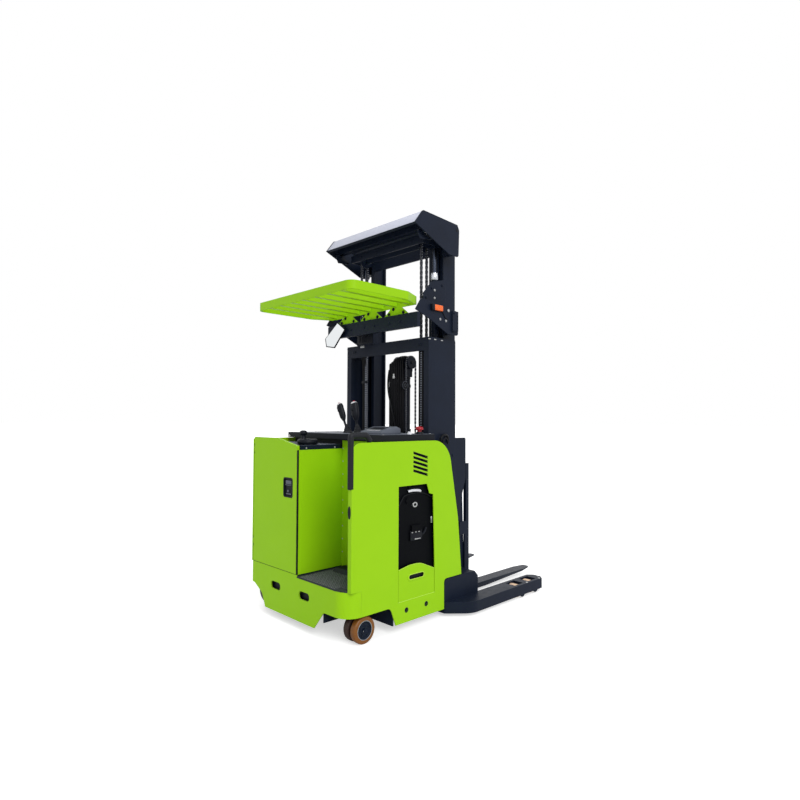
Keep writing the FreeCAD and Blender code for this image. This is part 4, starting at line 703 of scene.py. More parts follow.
class Studio:
    """Camera, lamps, floor and world of the picture."""

    EYE_M = (-3.494, -3.417, 1.450)
    YAW_DEG = 45.684
    PITCH_DEG = 1.8905
    ROLL_DEG = 0.241
    LENS_MM = 25.84
    SENSOR_MM = 36.0
    SIGHT_M = 400.0
    FLOOR_GREY = 0.8
    FLOOR_GLOW = 0.55
    FLOOR_M = 150.0
    WORLD_FILL = 0.5
    # Name, direction towards the lamp, angle it fills in the sky, strength.
    LAMPS = (("key_lamp", (-0.35, -1.0, 0.75), 40.0, 2.0),
             ("top_lamp", (0.1, 0.15, 1.0), 60.0, 0.55),
             ("rear_lamp", (-1.0, 0.25, 0.45), 60.0, 0.12))

    def add(self, name: str, data: bpy.types.ID, pose: Matrix) -> bpy.types.Object:
        """Puts an object of the studio in its place.

        Args:
            name: Name of the object.
            data: Its camera, lamp or mesh.
            pose: Its place and turn.

        Returns:
            The object.
        """
        rig = bpy.data.objects.new(name, data)
        rig.matrix_world = pose
        bpy.context.scene.collection.objects.link(rig)
        return rig

    def camera(self) -> None:
        """Makes the camera and takes it as the scene's own."""
        data = bpy.data.cameras.new("studio_camera")
        data.lens, data.sensor_width = self.LENS_MM, self.SENSOR_MM
        data.clip_end = self.SIGHT_M
        yaw, pitch, roll = (math.radians(a) for a in (self.YAW_DEG, self.PITCH_DEG, self.ROLL_DEG))
        ahead = Vector((
            math.cos(yaw) * math.cos(pitch), math.sin(yaw) * math.cos(pitch), math.sin(pitch),
        ))
        right = Vector((math.sin(yaw), -math.cos(yaw), 0.0))
        up = right.cross(ahead)
        level = math.cos(roll) * right + math.sin(roll) * up
        upright = -math.sin(roll) * right + math.cos(roll) * up
        turn = Matrix((level, upright, -ahead)).transposed().to_4x4()
        bpy.context.scene.camera = self.add(
            "studio_camera", data, Matrix.Translation(self.EYE_M) @ turn)

    def lamps(self) -> None:
        """Adds the broad even lamps."""
        for name, way, spread_deg, power in self.LAMPS:
            data = bpy.data.lights.new(name, "SUN")
            data.energy, data.angle = power, math.radians(spread_deg)
            self.add(name, data, Vector(way).to_track_quat("Z", "Y").to_matrix().to_4x4())

    def world(self) -> None:
        """White surroundings for the eye and for gloss, plain soft light for the rest."""
        world = bpy.data.worlds.new("studio_world")
        bpy.context.scene.world = world
        tree = fresh_tree(world)
        path = add_node(tree, "LightPath")
        seen = path.outputs["Is Camera Ray"]
        for ray in ("Is Glossy Ray", "Is Transmission Ray"):
            seen = add_node(tree, "Math", "Value", {0: seen, 1: path.outputs[ray]},
                            operation="MAXIMUM")
        level = add_node(tree, "MapRange", "Result",
                         {"Value": seen, "To Min": self.WORLD_FILL, "To Max": 1.0})
        back = add_node(tree, "Background", "Background", {"Color": WHITE, "Strength": level})
        add_node(tree, "OutputWorld", "", {"Surface": back})

    def floor(self) -> None:
        """White floor that keeps the truck's soft shadow."""
        mesh = bpy.data.meshes.new("studio_floor")
        work = bmesh.new()
        bmesh.ops.create_circle(work, cap_ends=True, radius=self.FLOOR_M, segments=96)
        work.to_mesh(mesh)
        work.free()
        ground = self.add("studio_floor", mesh, Matrix())
        material = bpy.data.materials.new("studio_floor")
        tree = fresh_tree(material)
        grey = add_node(tree, "BsdfDiffuse", "BSDF", {"Color": (self.FLOOR_GREY,) * 3 + (1,)})
        seen = add_node(tree, "LightPath", "Is Camera Ray")
        lift = add_node(tree, "MapRange", "Result",
                        {"Value": seen, "To Min": 0.0, "To Max": self.FLOOR_GLOW})
        glow = add_node(tree, "Emission", "Emission", {"Color": WHITE, "Strength": lift})
        both = add_node(tree, "AddShader", "Shader", {0: grey, 1: glow})
        add_node(tree, "OutputMaterial", "", {"Surface": both})
        mesh.materials.append(material)

    def build(self) -> None:
        """Sets the whole studio up."""
        bpy.context.scene.view_settings.view_transform = "Standard"
        self.camera()
        self.world()
        self.lamps()
        self.floor()


@dataclass
class Bodywork(Assembly):
    """Side panels, skirt, gates and corner strip: lips, dark sheets behind the louvres as painted
    shade, slots and bolts.
    """

    shade_sheet_depth: float = 9.0
    louvres: int = 5
    slot_y: tuple = (206.0, -147.0)
    slot_z: float = 244.0
    slot_size: tuple = (120.0, 54.0)
    hand_slot: tuple = (625.0, 357.5, 150.0, 55.0)
    crown: tuple = ((452, 422), (500, 430), (546, 438), (570, 440.5), (622, 440.5), (661, 437),
                    (692, 428), (730, 411.5), (770, 395), (808, 379))
    panel_hole_x: tuple = (527.0, 725.0)
    panel_hole_z: float = 142.0
    strip_slots: int = 9
    rivets: int = 9

    def louvre_shade_sheets(self) -> None:
        """Dark sheet close behind the louvres of each side panel and dark liners in their slots,
        painted shade for the openings.
        """
        y, shade_liners = cad("panel_right").y0, Stock()
        low = y + self.shade_sheet_depth
        # Dark sheet behind the louvres, and below dark liners in each slot: painted shade.
        sheet = Stock().block((580, low, 1032), (748, low + 1.5, 1232), 0.6, 1)
        for z in (1207.0 - 31.0 * row for row in range(self.louvres)):
            rim = ((590, z - 2), (736, z - 41.5), (736, z - 22), (590, z + 16.5))
            shade_liners.plate([(x, y - 0.3, up) for x, up in rim], (0, 1.6, 0), rim=4.0)
        self.pieces(("louvre_shade_sheets", sheet, BATTERY_STEEL),
                    ("louvre_shade_liners", shade_liners, BLACK_ABS), mirror=True)

    def skirt_lips(self) -> None:
        """Dark rings round the skirt's two lift slots and dark cups behind them, painted shade
        that makes the slots read larger; beads round them in the paler green, painted highlight;
        deck web.
        """
        x, (width, height), half = cad("rear_skirt").x0, self.slot_size, self.slot_size[0] / 2 + 12
        slot_shade_rings, beads, slot_shade_cups = Stock(), Stock(), Stock()
        for y in self.slot_y:
            # Dark ring round the slot: painted shade that makes the opening read larger.
            ring = rounded((x + 0.05, y, self.slot_z), "X", width + 26, height + 26, 36)
            slot_shade_rings.plate(ring, (2.0, 0, 0), 0.2, rim=13.5)
            # Bead in the paler green: painted highlight.
            bead = rounded((x + 2.65, y, self.slot_z), "X", width + 32, height + 32, 38)
            beads.tube(bead, 2.6, closed=True)
            # Dark cup behind the slot: painted shade.
            slot_shade_cups.block((x + 22, y - half, 210), (x + 24, y + half, 279), 0.6, 1)
        self.pieces(("skirt_slot_shade_rings", slot_shade_rings, BLACK_ABS),
                    ("skirt_slot_beads", beads, GREEN_HIGHLIGHT),
                    ("skirt_slot_shade_cups", slot_shade_cups, BLACK_ABS),
                    ("deck_web", Stock().block((14, -353, 112), (398, -347, 222), 1), BLACK_STEEL))

    def gate_pockets(self) -> None:
        """Collar round each battery gate's hand slot with a dark plate behind it as painted shade,
        and beads in the paler green along the slot, crown and sill as painted highlight.
        """
        x, z, width, height = self.hand_slot
        y = cad("gate_right").y0 - 1.2
        collar, slot_shade, beads = Stock(), Stock(), Stock()
        collar.plate(rounded((x, y, z), "Y", width + 26, height + 3, 28), (0, 3, 0), 0.9, rim=13.0)
        # Beads in the paler green along the slot, sill and crown: painted highlight.
        beads.tube(rounded((x, y, z), "Y", width + 2, height - 20, 17), 2.4, closed=True)
        beads.tube([(450, y + 1, 206.5), (810, y + 1, 206.5)], 2.2, order=2)
        beads.tube([(along, y + 1.4, up) for along, up in self.crown], 2.2, order=2)
        # Dark plate behind the hand slot: painted shade.
        slot_shade.plate(rounded((x, y + 12, z), "Y", width + 8, height + 8, 30), (0, 1.6, 0), 0.5)
        self.pieces(("gate_collars", collar, GREEN_PAINT), ("gate_beads", beads, GREEN_HIGHLIGHT),
                    ("gate_hand_slot_shade", slot_shade, BLACK_ABS), mirror=True)

    def panel_bolts(self) -> None:
        """Sunk chassis bolts in the two holes low on each side panel, and dark rings round the
        holes, painted shade that makes them read larger.
        """
        y, z, bolts, rings = cad("panel_right").y0, self.panel_hole_z, Stock(), Stock()
        for x in self.panel_hole_x:
            # Dark ring round the hole: painted shade.
            rings.washer(10.5, 18, 2, (x, y + 0.6, z), sides=28)
            bolts.rod((x, y + 12, z), (x, y + 7, z), 17)
            bolts.bolt((x, y + 7, z), RIGHT, 8.5, 5.0)
        self.pieces(("panel_bolts", bolts, BLACK_STEEL),
                    ("panel_hole_shade_rings", rings, BLACK_ABS), mirror=True)

    def corner_slots(self) -> None:
        """Two columns of slanted breather slots on the chamfered rear corner, drawn as thin dark
        patches: painted shade for the openings.
        """
        along = Vector((60, 65, 0)).normalized()
        out = Vector((-along.y, along.x, 0))
        foot = Vector((cad("corner_strip").x0, 540, 0)) + out * 0.5
        rise, tall = along * 20 + Vector((0, 0, 14)), Vector((0, 0, 7))
        stock = Stock()
        for row in range(self.strip_slots):
            for column, reach in enumerate((14.0, 42.0)):
                low = foot + along * reach + Vector((0, 0, 624 + 26 * row + 8 * column))
                stock.plate([low, low + rise, low + rise + tall, low + tall], -out * 0.8)
        self.piece("corner_breather_slots", stock, BLACK_ABS)

    def flange_notch(self) -> None:
        """Dark oval on the right panel's rear flange, a thin plate that is painted shade for a
        finger notch.
        """
        x = cad("panel_right").x0 - 0.6
        oval = [(x, -583 + 15 * u, 855 + 42 * v) for u, v in spaced(18, (0, 0), 1)]
        self.piece("flange_finger_notch", Stock().plate(oval, (0.5, 0, 0)), BLACK_ABS)

    def wall_rivets(self) -> None:
        """Column of blind rivets down the compartment's front wall."""
        wall, stock = cad("compartment_wall"), Stock()
        for row in range(self.rivets):
            stock.turned([(0, 3.2), (3.4, 2.6), (5.0, 0.9), (5.4, 0.0)],
                         (wall.x0, wall.y1 - 9, 470 + 95 * row), "X", 14)
        stock.stretch(stock.mesh.verts, (-1, 1, 1), (wall.x0, 0, 0))
        self.piece("wall_rivets", stock, ZINC)

    def door_seals(self) -> None:
        """Rubber seals that the rear door closes against."""
        door, high = cad("rear_door"), cad("rear_skirt").z1
        stock = Stock().block((1.2, -56.2, high + 0.4), (12, door.y0 - 0.6, 1229), 1.2, 1)
        stock.block((1.2, -50, high + 0.3), (18, door.y1 - 12, door.z0 - 0.4), 0.8, 1)
        self.piece("door_seals", stock, HOSE_RUBBER)

    def heel_lips(self) -> None:
        """Upper lip of each side panel's heel in the paler green, a painted highlight."""
        panel = cad("panel_right")
        y = panel.y0 + 3
        lip = Stock().tube([(921, y, 282.6), (panel.x1 - 3, y, 282.6)], 2.4, order=2)
        self.piece("heel_lips", lip.mirrored(), GREEN_HIGHLIGHT)

    STEPS = (louvre_shade_sheets, skirt_lips, gate_pockets, panel_bolts, corner_slots, flange_notch,
             wall_rivets, door_seals, heel_lips)


@dataclass
class RearDoor(Assembly):
    """Cabinet door: latch with its surround, case and lever, and a plug in its top."""

    body: str = "door"
    latch_round: float = 20.0
    plug_seat: tuple = (11.0, 236.0)

    def latch(self) -> None:
        """Surround, case and lever of the latch."""
        box = cad("door_latch")
        x, (_, y, z) = box.x0, box.centre()
        width, height, turn = box.y1 - box.y0, box.z1 - box.z0, self.latch_round
        surround = Stock()
        for sy in (-1, 1):
            for sz in (-1, 1):
                middle = (y + sy * (width / 2 - turn), z + sz * (height / 2 - turn))
                arc = [(0.4, middle[0] + sy * u, middle[1] + sz * v)
                       for u, v in spaced(24, (0, 0), turn)[:7]]
                tip = (0.4, y + sy * width / 2, z + sz * height / 2)
                surround.plate([tip] + arc, (3, 0, 0))
        case = Stock()
        case.plate(rounded((x + 0.2, y, z), "X", width - 1, height - 1, turn), (12, 0, 0), 1.4, 9)
        case.plate(rounded((x + 11, y, z), "X", width - 10, height - 10, turn - 4), (2, 0, 0))
        lever = Stock().block((x + 3, y - 34, z + 22), (x + 11, y + 34, z + 50), 3)
        lever.block((x + 4, y - 30, z - 50), (x + 11, y + 30, z - 42), 2)
        lever.rod((x + 11, y + 6, z - 26), (x + 3, y + 6, z - 26), 9, round_off=1.2)
        lever.tube([(x + 4, y - 36, z + 18), (x + 2.6, y, z + 14), (x + 4, y + 36, z + 18)], 2.6)
        self.piece("door_latch_surround", surround, GREEN_PAINT)
        self.piece("door_latch_case", case, BLACK_ABS, stands_for=("door_latch",))
        self.piece("door_latch_lever", lever, GREY_ABS)

    def top_plug(self) -> None:
        """Plug in the door's top edge."""
        high, seat = cad("rear_door").z1, self.plug_seat
        plug = Stock().rod((*seat, high - 5), (*seat, high - 0.1), 5, round_off=0.8)
        self.piece("door_top_plug", plug, BLACK_ABS)

    STEPS = (latch, top_plug)


@dataclass
class Compartment(Assembly):
    """Operator's floor: ribbed mat, presence pedal and the foam hand grip."""

    stud_pitch: float = 17.0
    stud: tuple = (12.0, 3.2, 1.6)
    pedal_ribs: int = 9
    grip_round: float = 19.0

    def mat_studs(self) -> None:
        """Moulded lozenge studs in alternating rows, but none by the skirt or the pedal."""
        mat, stock, pitch = cad("floor_mat"), Stock(), self.stud_pitch
        length, width, height = self.stud[0] * 0.6, self.stud[1] * 0.7, self.stud[2]
        for row in range(int((mat.x1 - mat.x0 - 20) / pitch)):
            for column in range(int((mat.y1 - mat.y0 - 20) / pitch)):
                x, y = mat.x0 + 14 + row * pitch, mat.y0 + 14 + column * pitch
                if (x < 60 and y < -470) or (262 < x < 394 and -301 < y < -109):
                    continue
                verts = stock.block((x - length, y - width, mat.z1 - 0.4),
                                    (x + length, y + width, mat.z1 + height)).added
                top = [vert for vert in verts if vert.co.z > mat.z1]
                stock.stretch(top, (0.8, 0.5, 1), (x, y, 0))
                stock.turn(verts, 45 if (row + column) % 2 else -45, "Z", (x, y, 0))
        self.piece("mat_studs", stock, STUD_RUBBER)

    def pedal(self) -> None:
        """Ribbed pad on the presence pedal."""
        pad, stock = cad("floor_pedal"), Stock()
        for y in (pad.y0 + 14 + 19 * rib for rib in range(self.pedal_ribs)):
            stock.block((pad.x0 + 30, y, pad.z1 - 0.5), (pad.x1 - 8, y + 9, pad.z1 + 2.2), 0.8, 1)
        self.piece("pedal_ribs", stock, BLACK_ABS)

    def grip(self) -> None:
        """Foam-covered tube that turns over the panel's rear edge."""
        grip, reach = cad("hand_grip"), self.grip_round
        x, y, end = grip.x0 + reach, grip.y0 + reach + 3, grip.x1
        low, high = grip.z0, grip.z1 - reach
        line = ((x, low + 3), (x, low + 60), (x, high - 60), (x, high - 6), (x + 8, high),
                (x + 60, high), (end - 62, high), (end - 44, high), (end - 18, 1306))
        foam = Stock().tube([(along, y, up) for along, up in line], reach, sides=4)
        foam.stretch(foam.mesh.verts, (1, 1.12, 1), (0, y, 0))
        ends = Stock().rod((x, y, low), (x, y, low + 8), reach * 0.86, round_off=2)
        ends.rod((end - 19, y, 1296), (end - 27, y, 1316), reach * 0.84, round_off=2)
        self.piece("foam_hand_grip", foam, FOAM, stands_for=("hand_grip",))
        self.piece("hand_grip_ends", ends, BLACK_ABS)

    STEPS = (mat_studs, pedal, grip)


@dataclass
class BatteryBox(Assembly):
    """Battery case seen through the side windows: handle, strap, ring lock and connector."""

    inset: float = 14.0
    ring_spot: tuple = (624.0, 849.0)
    seam_z: tuple = ((1000, 1003), (232, 236))
    handle_line: tuple = ((560, 5, 946), (570, 11, 950), (620, 12, 950), (670, 11, 945),
                          (680, 5, 940))
    strap_line: tuple = ((460, 842), (497, 892), (520, 922), (631, 934), (748, 918), (822, 872))

    def build(self) -> None:
        """Makes the battery's fittings on its right face."""
        y = cad("battery").y0 + self.inset
        handle = Stock().tube([(x, y - out, z) for x, out, z in self.handle_line], 9.5, sides=4)
        straps = Stock().tube([(x, y - 5, z) for x, z in self.strap_line], 4.5)
        middle = (self.ring_spot[0], y - 7, self.ring_spot[1])
        ring = Stock().turned(both(4, (10, 0), (17, 0), (18, 4)), middle, "Y", 28, closed=True)
        ring.stretch(ring.mesh.verts, (1.35, 1, 1.05), middle)
        plug = Stock().block((577, y - 14, 598), (694, y - 2, 668), 8, 3)
        plug.tube([(694, y - 8, 630), (724, y - 8, 640), (740, y - 6, 676)], 7)
        marks = Stock().block((616, y - 17, 606), (676, y - 13, 613), 1.5, 1)
        marks.block((792, y - 9, 700), (808, y - 1, 748), 2, 1)
        for x in (586, 622, 654):
            marks.block((x, y - 16, 655), (x + 14, y - 12, 661), 1, 1)
        seams = Stock()
        for low, high in self.seam_z:
            seams.block((434, y - 2.5, low), (838, y - 0.5, high), 0.8, 1)
        self.pieces(("battery_handle", handle, PALE_ABS), ("battery_straps", straps, HOSE_RUBBER),
                    ("battery_ring", ring, ZINC), ("battery_connector", plug, BLACK_ABS),
                    ("battery_marks", marks, ZINC), ("battery_seams", seams, BATTERY_STEEL))


@dataclass
class Console(Assembly):
    """Console over the battery: top sheet, display pad, stop button, levers and bolts."""

    boot_ridges: int = 5
    display_keys: int = 5
    key_x: float = 624.0
    lever_x: float = 500.0
    # Foot, lean in degrees, breadth and rise of each lever.
    lever_table: tuple = ((-109.0, 11.5, 1.3, 22.0), (10.0, 25.0, 1.15, 30.0))

    def top_sheet(self) -> None:
        """Grained grey sheet on the console, and its screws."""
        top = cad("console")
        sheet = Stock().block((top.x0 + 2, top.y0 + 2, top.z1 - 1),
                              (top.x1 - 2, top.y1 - 2, top.z1 + 1.6), 1.2)
        screws = Stock().bolt((top.x0 + 0.4, top.y1 - 20, 1312), REAR, 7, 5)
        for x in (top.x0 + 26, (top.x0 + top.x1) / 2, top.x1 - 26):
            for y in (top.y0 + 18, top.y1 - 18):
                screws.rod((x, y, top.z1 + 1), (x, y, top.z1 + 3.4), 6, round_off=1)
        self.pieces(("console_top_sheet", sheet, GREY_ABS), ("console_screws", screws, ZINC))

    def display(self) -> None:
        """Wedge-shaped display housing with a dark screen and a membrane key row."""
        pad = cad("display_pad")
        side = ((pad.x0, pad.z0 + 1), (pad.x1, pad.z0 + 1), (pad.x1, pad.z1 - 14),
                (pad.x1 - 34, pad.z1), (pad.x1 - 62, pad.z1), (pad.x0 + 4, pad.z0 + 22))
        case = Stock().plate([(x, pad.y0, z) for x, z in side], (0, pad.y1 - pad.y0, 0), 7.0)
        slope = Vector((pad.x1 - 62 - pad.x0 - 4, 0, pad.z1 - pad.z0 - 22)).normalized()
        out = Vector((-slope.z, 0, slope.x))
        low = Vector((pad.x0 + 4, 0, pad.z0 + 22)) + out * 0.6
        keys = Stock()
        for y in (pad.y0 + 46 + 29 * key for key in range(self.display_keys)):
            keys.slab(low + slope * 18, low + slope * 34, y, y + 20, out * 1.4, 0.6)
        screen = Stock().slab(low + slope * 46, low + slope * 104, pad.y0 + 42, pad.y1 - 42,
                              out * 1.4, 0.6)
        self.piece("display_housing", case, GREY_ABS, stands_for=("display_pad",))
        self.pieces(("display_screen", screen, BLACK_ABS), ("display_keys", keys, PALE_ABS))

    def stop_button(self) -> None:
        """Mushroom-head stop button on its black collar."""
        stop = cad("emergency_stop")
        x, y, _ = stop.centre()
        head = Stock().turned([(0, 57), (14, 56), (24, 52.5), (29, 46), (30, 38), (28.5, 32),
                               (20, 29.5), (16, 28), (16, 12), (0, 12)], (x, y, stop.z0), sides=36)
        collar = Stock().turned([(0, 0), (29, 0), (29, 9), (26, 14), (19, 15), (18, 18), (0, 18)],
                                (x, y, stop.z0 + 1), sides=36)
        self.piece("stop_mushroom", head, RED_ABS, stands_for=("emergency_stop",))
        self.piece("stop_collar", collar, BLACK_ABS)

    def key_knob(self) -> None:
        """Pale key switch beside the stop button, with its key."""
        top, x = cad("console"), self.key_x
        y, z = top.y0 + 32, top.z1
        knob = Stock().turned([(0, 22), (11, 21), (14, 17), (15, 9), (18, 6), (19, 0), (0, 0)],
                              (x, y, z), sides=28)
        key = Stock().block((x - 2, y - 12, z + 20), (x + 2, y + 12, z + 40), 1.2)
        self.pieces(("key_switch", knob, PALE_ABS), ("switch_key", key, BLACK_ABS))

    def levers(self) -> None:
        """Two leaning control levers: bellows, palm grips, pale thumb caps and rockers."""
        top, x = cad("console").z1, self.lever_x
        boots, grips, caps, switches = Stock(), Stock(), Stock(), Stock()
        for foot, lean, size, rise in self.lever_table:
            centre = (x, foot, top)
            profile = [(0, 0), (40, 0), (40, 5)]
            for ridge in range(self.boot_ridges):
                radius, high = 35 - 4.6 * ridge, 12 * ridge
                profile += [(radius, 8 + high), (radius - 6, 14 + high)]
            boot = boots.turned(profile + [(9, 70), (0, 70)], centre, sides=28).added
            boots.turn([vert for vert in boot if vert.co.z > top + 6], -lean * 0.6, "X", centre)
            grip = grips.turned([
                (0, 40), (9, 42), (9, 72), (15, 84), (21 * size, 108), (23 * size, 140),
                (22 * size, 172), (23 * size, 196), (20 * size, 212), (10, 219), (0, 220),
            ], centre, sides=28).added
            grips.stretch(grip, (0.86, 1.08, 1), centre)
            before = set(grips.mesh.verts)
            grips.block((x - 32, foot - 9, top + 150), (x - 8, foot + 9, top + 192), 5)
            grip += [vert for vert in grips.mesh.verts if vert not in before]
            cap = caps.turned([(0, 224), (9, 223), (15 * size, 219), (18.5 * size, 213),
                               (19.5 * size, 208), (0, 207)], centre, sides=24).added
            rocker = switches.block((x - 8, foot - 5, top + 221),
                                    (x + 8, foot + 5, top + 228)).added
            for stock, verts in ((grips, grip), (caps, cap), (switches, rocker)):
                stock.shift([vert for vert in verts if vert.co.z > top + 60], Vector((0, 0, rise)))
                stock.turn(verts, -lean, "X", centre)
        self.piece("lever_bellows", boots, FOAM)
        self.piece("lever_grips", grips, BLACK_ABS, stands_for=("control_levers",))
        self.pieces(("lever_caps", caps, PALE_ABS), ("lever_switches", switches, RED_ABS))

    def cabinet_band(self) -> None:
        """Button-head bolts, a pale grey line along the band's top edge that is painted highlight,
        and the cover sheet of the cabinet's top band.
        """
        band, bolts = cad("cabinet_top"), Stock()
        y, z = band.y0 + 1.5, band.z1 - 0.8
        for x in (75, 327):
            bolts.turned([(0, -4.5), (4, -4), (6.5, -1.5), (7, 0), (0, 0)], (x, band.y0, 1241),
                         "Y", 20)
        # Pale grey line along the top edge: painted highlight.
        edge = Stock().tube([(band.x0 + 4, y, z), (band.x1 - 4, y, z)], 1.6, order=2)
        cover = Stock().block((200, band.y0 + 8, band.z1 - 0.5),
                              (392, band.y1 - 12, band.z1 + 1.6), 1.0, 1)
        self.pieces(("cabinet_band_bolts", bolts, ZINC), ("cabinet_band_highlight", edge, GREY_ABS),
                    ("cabinet_cover_sheet", cover, GREY_ABS))

    STEPS = (top_sheet, display, stop_button, key_knob, levers, cabinet_band)


@dataclass
class SteeringDisc(Assembly):
    """Flat steering disc with its spinner knob."""

    body: str = "steering_wheel"
    grips: int = 12
    grip_circle: float = 66.0

    def build(self) -> None:
        """Makes the disc, the knob and the grip studs round the rim."""
        disc, studs = cad("steering_wheel"), Stock()
        (x, y, _), z = disc.centre(), disc.z0
        stock = Stock().turned([
            (0, 0), (8, 0), (8, 7), (60, 7), (70, 10), (74, 16), (75, 24), (74, 34),
            (70, 42), (62, 46), (50, 44), (30, 42), (24, 46), (16, 49), (0, 50),
        ], (x, y, z), sides=48)
        stock.turned([(0, 46), (19, 46), (18, 52), (15, 60), (16, 72), (24, 78), (27, 86),
                      (26, 98), (21, 105), (10, 108.5), (0, 109)], (x - 22, y + 22, z), sides=32)
        for spot in spaced(self.grips, (x, y), self.grip_circle):
            studs.rod((*spot, z + 42), (*spot, z + 45.4), 4.5, sides=10)
        self.piece("steering_disc", stock, BLACK_ABS, stands_for=("steering_wheel",))
        self.piece("steering_disc_grips", studs, FOAM)


@dataclass
class Wheels(Assembly):
    """Tread, hub and bolt detail of the castor, drive and load wheels."""

    tread_share: float = 0.7
    castor_gap: float = 10.0
    castor_half: float = 25.0
    castor_bolts: int = 5
    castor_circle: float = 39.0
    drive_nuts: int = 7
    drive_circle: float = 78.0

    def tread(self, box: Extent, y0: float, y1: float) -> Stock:
        """Returns one crowned tread band.

        Args:
            box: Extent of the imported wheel.
            y0: Low side of the tread.
            y1: High side of the tread.

        Returns:
            The band about the wheel's axle.
        """
        (x, _, z), radius, half = box.centre(), (box.z1 - box.z0) / 2, (y1 - y0) / 2
        profile = both(half, (radius * self.tread_share, 2), (radius - 9, 1), (radius - 3, 5),
                       (radius - 0.6, 10), (radius, half))
        return Stock().turned(profile, (x, (y0 + y1) / 2, z), "Y", 64, closed=True)

    def castor(self) -> None:
        """Castor twins: amber outer tread, dark inner one, navy hubs with bright rings."""
        box, face = cad("caster_wheels"), self.castor_half
        x, mid, z = box.centre()
        outer, inner = (box.y0, mid - self.castor_gap), (mid + self.castor_gap, box.y1)
        hubs, rims, bolts, screws = Stock(), Stock(), Stock(), Stock()
        profile = both(face, (12.2, 6), (26, 3), (30, 9), (48, 10), (52, 4), (60, 2.5), (63, 4))
        profile.insert(1, (20, 5 - face))
        for (low, high), out, side in ((outer, -1, outer[0]), (inner, 1, inner[1])):
            hubs.turned(profile, (x, (low + high) / 2, z), "Y", 48, closed=True)
            rims.washer(58.6, 61.4, 2, (x, side - out * 2.2, z), sides=48)
            for u, v in spaced(self.castor_bolts, (x, z), self.castor_circle, 20):
                bolts.bolt((u, side - out * 11, v), (0, out, 0), 4.6, 5.0)
            bolts.rod((x, side - out * 6, z), (x, side - out * 1.5, z), 9.5, 8.5, 6, 0.6)
            for offset in (-9, 5):
                seat = (x + offset, side - out * 1.6, z + 0.25 * offset)
                screws.bolt(seat, (0, out, 0), 4.4, 1.3)
        body = "caster_wheels"
        self.piece("castor_tread_outer", self.tread(box, *outer), AMBER_PU, body, (body,))
        self.pieces(("castor_tread_inner", self.tread(box, *inner), BROWN_PU),
                    ("castor_hubs", hubs, BLACK_STEEL), ("castor_end_screws", screws, ZINC),
                    ("castor_rim_rings", rims, PIN_STEEL), ("castor_bolts", bolts, BLACK_ABS),
                    body=body)

    def drive(self) -> None:
        """Drive wheel: worn brown tread, dished hub and wheel nuts."""
        box, body, nuts = cad("drive_wheel"), "drive_wheel", Stock()
        (x, y, z), half = box.centre(), (box.y1 - box.y0) / 2
        hub = Stock().turned([
            (35.5, 12 - half), (52, 10 - half), (60, 26 - half), (96, 28 - half), (106, 8 - half),
            (116, 5 - half), (116, half - 5), (106, half - 8), (96, half - 22), (60, half - 20),
            (52, half - 8), (35.5, half - 8),
        ], (x, y, z), "Y", 56, closed=True)
        for u, v in spaced(self.drive_nuts, (x, z), self.drive_circle):
            nuts.bolt((u, box.y1 - 21, v), (0, 1, 0), 10, 12)
        self.piece("drive_tread", self.tread(box, box.y0, box.y1), BROWN_PU, body, (body,))
        self.pieces(("drive_hub", hub, CASTING), ("drive_nuts", nuts, ZINC), body=body)

    def load_wheels(self) -> None:
        """Tread, hub and bearing seals of each load wheel."""
        for body in ("load_wheel_%s_%s" % (side, end)
                     for side in ("right", "left") for end in ("rear", "front")):
            box = cad(body)
            profile = both((box.y1 - box.y0) / 2, (10.3, 3), (22, 3), (23, 7), (33, 7), (36, 4))
            hub = Stock().turned(profile, box.centre(), "Y", 40, closed=True)
            self.piece(body + "_tread", self.tread(box, box.y0, box.y1), TAN_PU, body, (body,))
            self.piece(body + "_hub", hub, BLACK_STEEL, body)

    STEPS = (castor, drive, load_wheels)


@dataclass
class StraddleLegs(Assembly):
    """Bolts, rolled edges, axle pins and bosses of the two straddle legs."""

    top: float = 108.0
    # Where the rolled edges start, and where the outer and the inner one end.
    edge_x: tuple = (1330.0, 1960.0, 1650.0)
    inner_flange: float = 137.0

    def build(self) -> None:
        """Makes the legs' pieces."""
        leg, top = cad("leg_right"), self.top
        pins, bolts, edges, bosses = Stock(), Stock(), Stock(), Stock()
        y, edge = leg.y0, top - 1.2
        for box in (cad("load_wheel_right_rear"), cad("load_wheel_right_front")):
            x, _, z = box.centre()
            pins.rod((x, y + 0.2, z), (x, box.y1 + 40, z), 10.2, sides=24)
            pins.rod((x + 12, y + 0.1, z), (x + 12, y + 6, z), 9, round_off=1)
            bosses.rod((x + 12, y + 0.4, z - 5), (x + 12, y + 9, z - 5), 36, round_off=2)
            bolts.bolt((x - 30, y + 7, z + 4), RIGHT, 6, 6)
        for seat in ((1985, y + 14), (leg.x1 - 14, y + 62), (1800, y + 13)):
            bolts.bolt((*seat, top), UP, 7, 5)
        start, *ends = self.edge_x
        for end, side, radius in zip(ends, (y + 3, leg.y1 - self.inner_flange), (2.2, 2.0)):
            edges.tube([(start, side, edge), (end, side, edge)], radius, order=2)
        self.pieces(("load_axle_pins", pins, CHAIN_STEEL),
                    ("load_axle_bosses", bosses, BLACK_STEEL), ("leg_bolts", bolts, ZINC),
                    ("leg_rolled_edges", edges, BLACK_STEEL), mirror=True)


